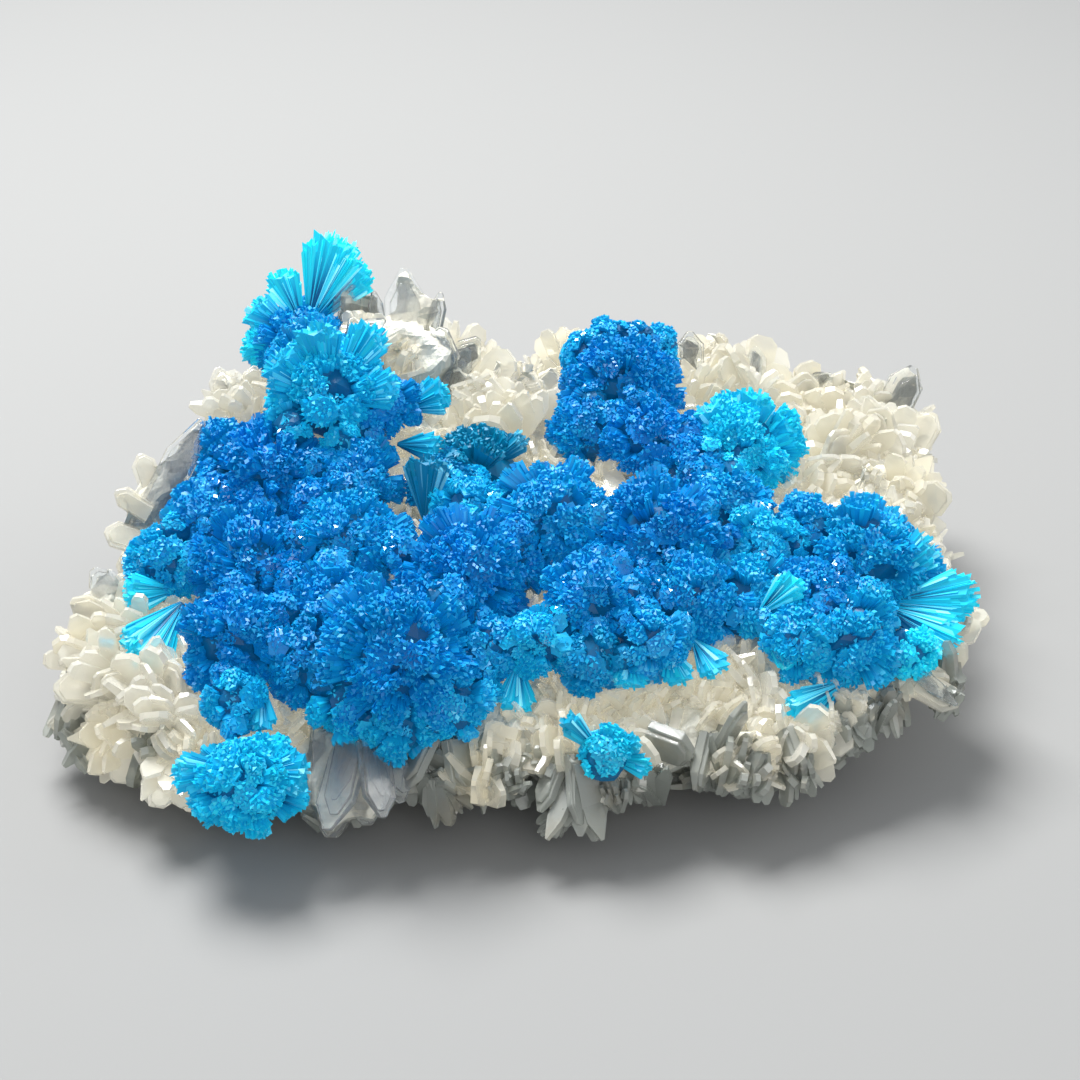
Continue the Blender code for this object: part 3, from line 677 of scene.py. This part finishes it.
def grow_sheaves(swarm, shapes, form, root, head, side, length, wide, deep, look, shown, draw):
    """Grows sheaves of crystals: each is a fused wedge whose end splits into many crystals.

    Length, wide and deep are the reach of each sheaf and the half sizes of its end. Shown
    tells which tips may be seen.
    """
    needles, wedges = shapes
    foot, ragged, dome, crowd = form
    cyan, teal = look
    group = settings()
    side = squared(side, head)
    other = np.cross(head, side)
    size = group.crystal_width
    per = int(np.clip(pi * np.mean(wide * deep) * crowd / (size**2 * 0.62), 6, MOST_CRYSTALS))
    steps = np.arange(per) + 0.5
    count = len(root)
    turn = GOLDEN_ANGLE * steps[None] + draw.uniform(0, tau, (count, 1))
    out = np.sqrt(steps / per)[None] * np.ones((count, 1))
    lobes = 1 - 0.04 * out * np.cos(3 * turn + draw.uniform(0, tau, (count, 1)))
    reach = length[:, None] * (1 - dome * out**2) * lobes
    reach *= 1 - ragged * draw.choice((0, 0.15, 0.35, 0.6, 1.0), (count, per))
    aside = (wide / length)[:, None] * out * np.cos(turn)
    beside = (deep / length)[:, None] * out * np.sin(turn)
    lean = head[:, None] + side[:, None] * aside[..., None] + other[:, None] * beside[..., None]
    lean = unit(lean + draw.normal(0, 0.012, lean.shape))
    tip = (root[:, None] + lean * reach[..., None]).reshape(-1, 3)
    start = (root[:, None] + lean * reach[..., None] * foot).reshape(-1, 3)
    seen = shown(tip)
    number = int(seen.sum())
    width = size * draw.uniform(0.65, 1.35, number)
    uneven = 0.25 if foot < 0.3 else 0.08
    shade = np.repeat(draw.normal(0.5, 0.12, count), per)[seen] + draw.normal(0, uneven, number)
    # The rise mark runs up each crystal; where it is low the material paints shade
    swarm.add(
        needles, start[seen], tip[seen], draw.normal(size=(number, 3)), width,
        width * draw.uniform(0.45, 0.8, number), draw, rise=(0.7 - foot, 1.0),
        shade=np.clip(shade, 0, 1), cyan=cyan + draw.uniform(-0.12, 0.12, number), teal=teal,
    )
    swarm.add(
        wedges, root + head * length[:, None] * 0.06,
        root + head * length[:, None] * (0.88 if dome < 0.1 else 0.95), side, 1.8 * wide, 1.8 * deep,
        draw, rise=(0.1, 0.95), shade=0.45, cyan=cyan * 0.8, teal=teal,
    )


def grow_ball(swarm, shapes, core, look, middle, radius, axis, spread, shown, draw):
    """Grows a rosette that radiates all round."""
    pitch = settings().sheaf_pitch * (0.3 + 0.7 * min(1.0, radius / (7 * MM)))
    area = tau * radius**2 * (1 - cos(spread))
    count = max(6, round(1.18 * area / pitch**2))
    head = cap_directions(axis, spread, count, draw)
    length = radius * draw.choice((0.76, 0.85, 0.92, 0.98, 1.03), count)
    length *= draw.uniform(0.97, 1.03, count)
    keep = shown(middle + head * length[:, None] * 1.04)
    if not keep.any():
        return
    head, length = head[keep], length[keep]
    count = len(head)
    wide = 0.5 * pitch * draw.uniform(1.0, 1.65, count)
    grow_sheaves(
        swarm, shapes, BALL_FORM, middle + draw.normal(0, 0.07, (count, 3)) * radius, head,
        draw.normal(size=(count, 3)), length, wide, wide * draw.uniform(0.55, 0.95, count), look, shown,
        draw,
    )
    # The core's low rise gives it the dark painted shade of the gaps between the crystals
    swarm.add_ball(core, middle, radius * CORE, rise=0.4, shade=0.45, cyan=look[0] * 0.5, teal=look[1])


def grow_fan(swarm, shapes, look, middle, radius, axis, spread, shown, draw):
    """Grows a fan: one large flat sheaf, with a smaller one on each side of it."""
    across = np.array(OUT.cross(Vector(axis)).normalized())
    swing = tan(spread)
    turns = np.array((0.0, -0.5, 0.5, 0.0)) * swing
    tips = np.array((0.0, 0.12, -0.08, -0.3)) * swing
    head = unit(axis + across * turns[:, None] + np.array(OUT) * tips[:, None])
    length = radius * np.array((1.0, 0.93, 0.88, 0.8)) * draw.uniform(0.96, 1.0, 4)
    wide = length * swing * np.array((0.72, 0.55, 0.55, 0.6))
    grow_sheaves(
        swarm, shapes, FAN_FORM, np.repeat(middle[None], 4, axis=0), head,
        np.repeat(across[None], 4, axis=0), length, wide, np.maximum(wide * 0.5, 0.5 * MM), look, shown,
        draw,
    )


def valley_rosettes(places, first, last):
    """Small rosettes that fill the valleys between neighbouring ones, counted from first."""
    middles, radii, axes, spreads = places
    found = []
    for i in range(first, last):
        for j in range(i + 1, len(radii)):
            apart = middles[j] - middles[i]
            span = np.linalg.norm(apart)
            both_round = min(spreads[i], spreads[j]) > radians(BALL_SPREAD)
            if not both_round or not 1 * MM < span < 0.96 * (radii[i] + radii[j]):
                continue
            line = apart / span
            part = (span**2 + radii[i] ** 2 - radii[j] ** 2) / (2 * span)
            height = sqrt(max(0, radii[i] ** 2 - part**2))
            if not 0 < part < span or height < 1.5 * MM:
                continue
            out = squared((axes[i] + axes[j])[None], line[None])[0]
            size = 0.46 * min(radii[i], radii[j])
            found.append((middles[i] + line * part + out * height * 0.58, size, out, (i, j)))
    return found


def grow_rosettes(name, rosettes, first, seed, *nodes):
    """Grows a list of rosettes as one piece, counted from first among all rosettes."""
    draw = np.random.default_rng(seed)
    rosettes = [(*rosette, 0)[:9] for rosette in rosettes]
    places = rosette_places()
    middles, radii, axes, spreads = places
    core, facets = model_ball(3)
    core = core * draw.uniform(0.88, 1.06, (len(core), 1)), facets
    needles = [model_needle(4, 0.4, -0.08, False)]
    needles += [model_needle(3, 0.4, slant, True) for slant in (0.12, 0.06, -0.04)]
    tufts = needles, [
        model_wedge(6, (0.0, 0.05, 0.02, 0.09, 0.03, 0.06)),
        model_wedge(6, (0.08, 0.0, 0.04, 0.0, 0.1, 0.02)),
        model_wedge(5, (0.0, 0.07, 0.12, 0.03, 0.05)),
    ]
    fans = needles, [model_wedge(9, (0.1, 0.02, 0.0, 0.06, 0.14, 0.08, 0.02, 0.05, 0.12))]
    swarm = Swarm()
    for step, rosette in enumerate(rosettes):
        number = first + step
        own = np.arange(len(radii)) == number
        shown = free_of(places, 0.87, 0.2 * MM, own)
        grown = rosette[7:], middles[number], radii[number], axes[number], spreads[number]
        if rosette[6] >= BALL_SPREAD:
            grow_ball(swarm, tufts, core, *grown, shown, draw)
        else:
            grow_fan(swarm, fans, *grown, shown, draw)
    shown = free_of(places, 0.88, 0)
    for middle, size, out, (i, j) in valley_rosettes(places, first, first + len(rosettes)):
        look = rosettes[i - first][7:]
        grow_ball(swarm, tufts, core, look, middle, size, out, radians(80), shown, draw)
    return swarm.finish(name, cavansite_blue, "cavansite", *nodes)


def cavansite_blue(look):
    """Cavansite: azure, darkened by painted shade deep between the crystals, cyan on the long ones,
    with a painted pale highlight on some tips and a faint painted glow.
    """
    group = settings()
    along, shade = look.attribute("rise"), look.attribute("shade")
    cyan, teal = look.attribute("cyan"), look.attribute("teal")
    # Painted shade: low on each crystal, deep between the crystals, the colour turns dark navy
    body = look.blend(look.steps(along, 0.3, 0.85), (0.0, 0.08, 0.2), tuple(group.azure))
    tip = look.steps(along, 0.35, 1.0)
    patch = look.steps(look.noise(4 * MM), 0.35, 0.65)
    body = look.blend(patch * 0.25, body, (0.0, 0.24, 0.5))
    body = look.blend(cyan * tip * 0.9, body, tuple(group.cyan))
    body = look.blend(teal * 0.75, body, (0.0, 0.14, 0.26))
    # Painted highlight: the brightest of the cyan crystals turn pale cyan towards their tips
    body = look.blend(look.steps(shade, 0.62, 1.0) * cyan * tip * 0.7, body, (0.45, 0.97, 1.0))
    sparkle = look.steps(look.noise(5 * MM, 2), 0.6, 0.66) * look.steps(along, 0.8, 0.95)
    body = look.scaled(body, 0.78 + shade * 0.4)
    # Painted glow: the crystals give off a little light of their own colour
    return look.set(
        Base_Color=body, Roughness=0.4 - sparkle * 0.3, IOR=1.6, Specular_IOR_Level=0.22,
        Coat_Weight=sparkle * 0.9, Coat_Roughness=0.05, Emission_Color=body, Emission_Strength=0.16,
    )


def stilbite_cream(look):
    """Milky stilbite: cream with a pearly lustre, a little clearer in places, and a faint painted glow
    of its own colour.
    """
    group = settings()
    shade = look.attribute("shade")
    cloud = look.steps(look.noise(7 * MM), 0.35, 0.65)
    pale = look.blend(shade, tuple(group.cream), (0.92, 0.91, 0.85))
    body = look.blend(cloud * 0.4, pale, (0.86, 0.83, 0.72))
    # Painted glow: the stilbite gives off a little light of its own colour
    return look.set(
        Base_Color=body, Roughness=0.08, IOR=1.5, Transmission_Weight=0.68,
        Normal=look.bump(look.noise(0.7 * MM, 4), 0.3, 0.12 * MM), Emission_Color=body,
        Emission_Strength=0.08,
    )


def stilbite_painted_shade(look):
    """The stilbite of the front wall: clearer than that of the top, and greyer by painted shade."""
    shade = look.attribute("shade")
    stain = look.steps(look.noise(4 * MM, 4), 0.5, 0.7)
    # Painted shade: the wall's stilbite takes greyer, darker colours than the same stilbite on top
    body = look.blend(shade, (0.5, 0.53, 0.48), (0.74, 0.76, 0.7))
    return look.set(
        Base_Color=look.blend(stain * 0.4, body, (0.6, 0.52, 0.4)), Roughness=0.1, IOR=1.5,
        Transmission_Weight=0.6, Normal=look.bump(look.noise(0.7 * MM, 4), 0.3, 0.12 * MM),
    )


def stilbite_clear(look):
    """Clear stilbite: see-through, with a faint milky tint."""
    return look.set(
        Base_Color=(0.97, 0.985, 0.98), Roughness=0.04, IOR=1.5, Transmission_Weight=0.92,
        Normal=look.bump(look.noise(0.9 * MM, 4), 0.3, 0.15 * MM),
    )


def stilbite_massive(look):
    """The matrix between the crystals: massive stilbite, grey on its side faces by painted shade,
    darker and browner towards the bottom, with brown stains.
    """
    group = settings()
    height = look.node("SeparateXYZ", None, {0: look.place()}, output=2)
    facing = look.node("NewGeometry", output=1)
    upward = look.node("SeparateXYZ", None, {0: facing}, output=2)
    cloud = look.noise(6 * MM, 5)
    grains = look.noise(0.8 * MM, 4, 0.65)
    drawn_out = look.node(
        "VectorMath", {"operation": "MULTIPLY"}, {0: look.place(), 1: (1.0, 1.0, 0.12)},
    )
    ridges = look.noise(0.5 * MM, 3.0, 0.5, drawn_out)
    body = look.blend(look.steps(cloud, 0.35, 0.65), tuple(group.cream), (0.9, 0.88, 0.78))
    # Painted shade: faces that do not face up are darkened towards grey
    wall = 1 - look.steps(upward, 0.1, 0.6)
    body = look.blend(wall * 0.75, body, (0.36, 0.39, 0.36))
    low = 1 - look.steps(height, 0.5 * MM, 8 * MM)
    stain = look.steps(look.noise(3.5 * MM, 5), 0.42, 0.62)
    body = look.blend(low * 0.6, body, (0.42, 0.38, 0.31))
    body = look.blend(stain * (0.12 + low * 0.5), body, (0.36, 0.26, 0.15))
    return look.set(
        Base_Color=body, Roughness=0.45 + grains * 0.3, IOR=1.5,
        Normal=look.bump(grains * 0.5 + ridges, 0.7, 0.4 * MM),
    )


def modify(piece, kind, **values):
    """Gives a piece a modifier with these values, and applies it."""
    modifier = piece.modifiers.new(kind, kind)
    for name, value in values.items():
        setattr(modifier, name, value)
    bpy.ops.object.modifier_apply(modifier=modifier.name)


class CAVANSITE_OT_matrix(bpy.types.Operator):
    """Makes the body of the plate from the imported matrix, roughened as massive stilbite"""

    bl_idname = "cavansite.matrix"
    bl_label = "Stilbite matrix"

    def execute(self, context):
        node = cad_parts["stilbite_matrix"]
        body = bpy.data.objects.new("stilbite_body", node.data.copy())
        body.data.transform(node.matrix_world)
        link(body)
        clean_slate()
        body.select_set(True)
        context.view_layer.objects.active = body
        switch_to("EDIT")
        bpy.ops.mesh.select_all(action="SELECT")
        bpy.ops.mesh.remove_doubles(threshold=0.001 * MM)
        switch_to("OBJECT")
        modify(body, "REMESH", mode="VOXEL", voxel_size=0.85 * MM)
        modify(body, "SMOOTH", iterations=6, factor=0.5)
        lumps = bpy.data.textures.new("matrix_lumps", "VORONOI")
        lumps.noise_scale = 3.2 * MM
        lumps.distance_metric = "DISTANCE"
        modify(
            body, "DISPLACE", texture=lumps, texture_coords="LOCAL", strength=1.5 * MM, mid_level=0.95,
        )
        mesh = body.data
        points = numbers_of(mesh.vertices, "co", 3)
        points[:, 2] = np.maximum(points[:, 2], 0)
        mesh.vertices.foreach_set("co", points.ravel())
        mesh.shade_flat()
        dress(body, stilbite_massive, "stilbite", "stilbite_matrix")
        return {"FINISHED"}


def near_blades(points, room):
    """Which points come within this distance of one of the named blades.

    A clear blade has twice as much room, so that light reaches it.
    """
    near = np.zeros(len(points), bool)
    blades = CLEAR_BLADES + CREAM_BLADES + WALL_BLADES
    for number, (across, down, width, length, _, lean, tip, _, *lift) in enumerate(blades):
        base, along = np.array(seat(across, down, sum(lift))), np.array(direction(lean, tip))
        reach = np.clip(((points - base) * along).sum(1), 0, length * MM)
        apart = np.linalg.norm(points - base - along * reach[:, None], axis=1)
        near |= apart < 0.42 * width * MM + room * (2 if number < len(CLEAR_BLADES) else 1)
    return near


def pairs_of_plates(swarm, plates, spot, along, thin, length, shown, draw):
    """Sets two flat plates side by side at each spot, each leaning a little away."""
    count = len(spot)
    thin = squared(thin, along)
    thick = length * draw.uniform(0.14, 0.26, count)
    wide = length * draw.uniform(0.35, 0.65, count)
    tone = draw.uniform(0.1, 0.9, count)
    for side in (-0.5, 0.5):
        step = side + draw.normal(0, 0.15, count)
        lean = unit(along + thin * (step * 0.05)[:, None] + draw.normal(0, 0.03, along.shape))
        reach = length * (1 - 0.1 * np.abs(step)) * draw.uniform(0.8, 1.0, count)
        foot = spot + thin * (step * thick * 0.7)[:, None] - lean * (length * 0.5)[:, None]
        tip = foot + lean * reach[:, None]
        own = shown(tip)
        swarm.add(
            plates, foot[own], tip[own], np.cross(lean, thin)[own],
            (wide * (1 - 0.1 * np.abs(step)) * draw.uniform(0.8, 1.0, count))[own],
            (thick * draw.uniform(0.7, 1.1, count))[own], draw,
            shade=np.clip(tone + draw.normal(0, 0.12, count), 0, 1)[own],
        )


class CAVANSITE_OT_stilbite_plates(bpy.types.Operator):
    """Crusts the matrix with sprays and pairs of stilbite plates"""

    bl_idname = "cavansite.stilbite_plates"
    bl_label = "Stilbite plates"

    def execute(self, context):
        group = settings()
        draw = np.random.default_rng(5)
        faces = bpy.data.objects["stilbite_body"].data.polygons
        count = len(faces)
        middles, normals = numbers_of(faces, "center", 3), numbers_of(faces, "normal", 3)
        areas = numbers_of(faces, "area", 1)[:, 0]
        places = rosette_places()
        low, high = np.array(CAD_BOX[0]), np.array(CAD_BOX[1])
        open_face = ~hidden(middles, places, 0.9) & (normals[:, 2] > -0.4)
        open_face &= (middles[:, 2] > 2 * MM) & ~near_blades(middles, 0.4 * MM)

        def in_box(tips):
            return ((tips > low - SLACK) & (tips < high + SLACK)).all(1)

        def shown(tips):
            return in_box(tips) & ~hidden(tips, places, 0.86) & ~near_blades(tips, 0.6 * MM)

        plates = [model_plate(0.8, 0.3, 0.7), model_plate(0.88, 0.5, 0.8), model_plate(0.7, 0.14, 0.6)]
        swarm, wall_swarm = Swarm(), Swarm()
        top = upper_face(middles[:, 0] + MIDDLE.x, middles[:, 1] + MIDDLE.y)
        on_wall = (middles[:, 2] < top - WALL_DROP) & (middles[:, 1] < WALL_BACK)

        def scattered(where, number):
            """Picks faces at random, the larger ones more often."""
            chance = areas * where
            picked = draw.choice(count, number, p=chance / chance.sum())
            return middles[picked], normals[picked]

        def spray(target, heart, axis, thin, size, spread, number, broad, seen=shown):
            """Adds a spray of plates that spread from its heart round an axis."""
            fan = cap_directions(axis, radians(spread), number, draw)
            foot = heart + fan * size * 0.1
            tip = foot + fan * size * draw.choice((0.7, 0.8, 0.88, 0.95), len(fan))[:, None]
            own = seen(tip) & (tip[:, 2] > 1 * MM)
            left = int(own.sum())
            target.add(
                plates, foot[own], tip[own], np.cross(fan[own], thin) + draw.normal(0, 0.3, (left, 3)),
                size * broad * draw.uniform(0.7, 1.3, left), size * draw.uniform(0.07, 0.14, left),
                draw, shade=np.clip(draw.uniform() + draw.normal(0, 0.18, left), 0, 1),
            )

        for across, down, size, lift, lean, tip, spread, number in SPRAYS:
            axis = np.array(direction(lean, tip))
            thin = squared(np.array(OUT)[None] + draw.normal(0, 0.4, (1, 3)), axis[None])
            heart = np.array(seat(across, down, lift)) - axis * size * MM * 0.3
            spray(swarm, heart, axis, thin, size * MM, spread, number * 3 // 4, 0.36)
        for place, normal in zip(*scattered(open_face & ~on_wall, group.spray_count)):
            size = group.plate_length * draw.uniform(1.2, 2.3)
            axis = unit(normal + np.array((0, 0, 0.3)) + draw.normal(0, 0.25, 3))
            thin = squared(draw.normal(size=(1, 3)), axis[None])
            heart = place - normal * size * 0.5
            spray(swarm, heart, axis, thin, size, 54, draw.integers(11, 18), 0.42)

        def on_front(tips):
            free = ~hidden(tips, places, 0.84) & ~near_blades(tips, 0)
            return in_box(tips) & (tips[:, 2] > 3.5 * MM) & free

        bare_wall = on_wall & ~hidden(middles, places, 0.8) & (middles[:, 2] > 2 * MM)
        for place, normal in zip(*scattered(bare_wall, group.wall_sprays)):
            size = group.plate_length * draw.uniform(1.2, 2.4)
            upright = np.array((0, 0, draw.choice((-1.0, -1.0, 1.0))))
            axis = unit(normal * 0.25 + upright + draw.normal(0, 0.3, 3))
            thin = squared(normal[None] + draw.normal(0, 0.4, (1, 3)), axis[None])
            heart = place - normal * size * 0.08 - axis * size * 0.5
            spray(wall_swarm, heart, axis, thin, size, 24, draw.integers(8, 14), 0.24, on_front)
        spot, normal = scattered(open_face & ~on_wall, group.plate_count)
        total = len(spot)
        along = unit(normal + np.array((0, 0, 0.3)) + draw.normal(0, 0.5, normal.shape))
        thin = draw.normal(0, 0.5, normal.shape)
        length = 0.95 * group.plate_length * np.clip(draw.lognormal(0, 0.25, total), 0.6, 1.6)
        pairs_of_plates(swarm, plates, spot, along, thin, length, shown, draw)
        swarm.finish("stilbite_plates", stilbite_cream, "stilbite", "stilbite_matrix")
        wall_swarm.finish("stilbite_wall_plates", stilbite_painted_shade, "stilbite", "stilbite_matrix")
        return {"FINISHED"}


# The three plates of a named blade, as shares of its own sizes: how far each stands aside, its
# half depth, the height of its shoulders and the width of its end
BLADE_PLATES = ((0, 0.62, 0.66, 0.2), (0.42, 0.42, 0.72, 0.3), (-0.4, 0.36, 0.6, 0.26))


def named_blades(name, blades, build):
    """Models each of these blades from cubes, as three plates grown side by side."""
    draw = np.random.default_rng(len(blades))
    pieces = []
    for across, down, width, length, thickness, lean, tip, turn, *lift in blades:
        base, along = seat(across, down, sum(lift)), direction(lean, tip)
        flat = (OUT - along * OUT.dot(along)).normalized()
        wide = along.cross(flat)
        c, s = cos(radians(turn)), sin(radians(turn))
        flat, wide = flat * c + wide * s, wide * c - flat * s
        for layer, (aside, deep, shoulders, end) in enumerate(BLADE_PLATES):
            grown = (1.0, draw.uniform(0.78, 0.92), draw.uniform(0.6, 0.8))[layer]
            spread = (1.0, draw.uniform(0.7, 0.9), draw.uniform(0.4, 0.6))[layer]
            offset = aside * thickness
            clean_slate()
            bpy.ops.mesh.primitive_cube_add(size=1, location=(0, 0, 0))
            blade = bpy.context.object
            edit_by("FACE")
            select_top(-1)
            bpy.ops.transform.resize(value=(width * MM * spread, thickness * MM * deep, 1))
            switch_to("OBJECT")
            shoulder = (length * shoulders) * grown * MM
            for vert in blade.data.vertices:
                vert.co.z = shoulder if vert.co.z > 0 else -BLADE_FOOT
            switch_to("EDIT")
            select_top(shoulder - 0.01 * MM)
            bpy.ops.mesh.extrude_region_move(
                TRANSFORM_OT_translate={"value": (0, 0, length * grown * MM - shoulder)}
            )
            bpy.ops.transform.resize(value=(end, 0.6, 1))
            bpy.ops.mesh.select_all(action="SELECT")
            bpy.ops.mesh.bevel(offset=BLADE_BEVEL, segments=1, affect="EDGES")
            switch_to("OBJECT")
            sway = draw.normal(0, 0.03, 2)
            for vert in blade.data.vertices:
                x, y, z = vert.co
                x += z * sway[0] + draw.normal(0, 0.02) * MM
                y += z * sway[1] + offset * MM
                vert.co = base + wide * x + flat * y + along * z
            pieces.append(blade)
    clean_slate()
    for blade in pieces:
        blade.select_set(True)
    bpy.context.view_layer.objects.active = pieces[0]
    bpy.ops.object.join()
    joined = bpy.context.object
    joined.name = name
    switch_to("EDIT")
    bpy.ops.mesh.select_all(action="SELECT")
    bpy.ops.mesh.normals_make_consistent(inside=False)
    switch_to("OBJECT")
    joined.data.shade_flat()
    attribute = joined.data.attributes.new("shade", "FLOAT", "POINT")
    attribute.data.foreach_set("value", np.full(len(joined.data.vertices), 0.55, np.float32))
    return dress(joined, build, "stilbite", "stilbite_matrix")


class CAVANSITE_OT_clear_blades(bpy.types.Operator):
    """Makes the large clear blades that stand up from the plate"""

    bl_idname = "cavansite.clear_blades"
    bl_label = "Clear blades"

    def execute(self, context):
        named_blades("stilbite_clear_blades", CLEAR_BLADES, stilbite_clear)
        return {"FINISHED"}


class CAVANSITE_OT_cream_blades(bpy.types.Operator):
    """Makes the larger cream blades round the edges"""

    bl_idname = "cavansite.cream_blades"
    bl_label = "Cream blades"

    def execute(self, context):
        named_blades("stilbite_cream_blades", CREAM_BLADES, stilbite_cream)
        return {"FINISHED"}


class CAVANSITE_OT_wall_blades(bpy.types.Operator):
    """Makes the blades of the front wall, greyer by painted shade"""

    bl_idname = "cavansite.wall_blades"
    bl_label = "Wall blades"

    def execute(self, context):
        named_blades("stilbite_wall_blades", WALL_BLADES, stilbite_painted_shade)
        return {"FINISHED"}


class CAVANSITE_OT_rosettes(bpy.types.Operator):
    """Grows the blue rosettes of the crust and the loose ones in front of it"""

    bl_idname = "cavansite.rosettes"
    bl_label = "Cavansite rosettes"

    def execute(self, context):
        first = 0
        for seed, (name, rosettes) in enumerate(ROSETTES.items(), 20):
            grow_rosettes(name, rosettes, first, seed, LOOSE_NODES.get(name, CRUST))
            first += len(rosettes)
        return {"FINISHED"}


class CAVANSITE_OT_stage(bpy.types.Operator):
    """Sets out the floor, the lights and the camera"""

    bl_idname = "cavansite.stage"
    bl_label = "Stage"

    def execute(self, context):
        scene = context.scene
        clean_slate()
        bpy.ops.mesh.primitive_plane_add(size=4, location=(0, 0, 0))
        floor = context.object
        floor.name = "floor"
        look = Finish("pale_floor")
        floor.data.materials.append(look.set(Base_Color=(0.3, 0.3, 0.295), Roughness=0.9))
        for name, place, size, power in (
            ("key_light", (-0.13, 0.2, 0.5), 0.28, 5.6), ("front_fill", (0.18, -0.6, 0.42), 0.5, 1.3),
            ("side_fill", (0.6, 0.1, 0.35), 0.4, 1.0),
        ):
            light = bpy.data.lights.new(name, "AREA")
            light.size = size
            light.energy = power
            lamp = bpy.data.objects.new(name, light)
            lamp.location = place
            aim = Vector((0, 0, 0.015)) - Vector(place)
            lamp.rotation_euler = aim.to_track_quat("-Z", "Y").to_euler()
            link(lamp)
        world = scene.world or bpy.data.worlds.new("studio")
        scene.world = world
        world.use_nodes = True
        background = world.node_tree.nodes["Background"]
        background.inputs["Color"].default_value = (0.9, 0.95, 1.0, 1)
        background.inputs["Strength"].default_value = 0.48
        camera = bpy.data.objects.new("camera", bpy.data.cameras.new("camera"))
        camera.data.sensor_width = 36
        camera.data.lens = 18 / tan(DRAWING_ANGLE / 2)
        camera.data.clip_start = 0.01
        camera.location = EYE - MIDDLE
        camera.rotation_euler = (pi / 2 - SIGHT_TILT, 0, 0)
        link(camera)
        scene.camera = camera
        scene.view_settings.view_transform = "Standard"
        return {"FINISHED"}


class CAVANSITE_PT_panel(bpy.types.Panel):
    """Lists the specimen's sizes, colours and pieces"""

    bl_idname = "CAVANSITE_PT_panel"
    bl_label = "Cavansite specimen"
    bl_space_type = "VIEW_3D"
    bl_region_type = "UI"
    bl_category = "Cavansite"

    def draw(self, context):
        group = context.scene.specimen
        for name in group.bl_rna.properties.keys():
            if name not in {"rna_type", "name"}:
                self.layout.prop(group, name)
        for operator in OPERATORS:
            self.layout.operator(operator.bl_idname)


OPERATORS = (
    CAVANSITE_OT_matrix, CAVANSITE_OT_stilbite_plates, CAVANSITE_OT_clear_blades,
    CAVANSITE_OT_cream_blades, CAVANSITE_OT_wall_blades, CAVANSITE_OT_rosettes, CAVANSITE_OT_stage,
)
CLASSES = (SpecimenSettings, *OPERATORS, CAVANSITE_PT_panel)


def register():
    for each in CLASSES:
        bpy.utils.register_class(each)
    bpy.types.Scene.specimen = PointerProperty(type=SpecimenSettings)


def unregister():
    del bpy.types.Scene.specimen
    for each in reversed(CLASSES):
        bpy.utils.unregister_class(each)


def main():
    register()
    bpy.ops.cavansite.matrix()
    bpy.ops.cavansite.stilbite_plates()
    bpy.ops.cavansite.clear_blades()
    bpy.ops.cavansite.cream_blades()
    bpy.ops.cavansite.wall_blades()
    bpy.ops.cavansite.rosettes()
    bpy.ops.cavansite.stage()


if __name__ == "__main__":
    main()
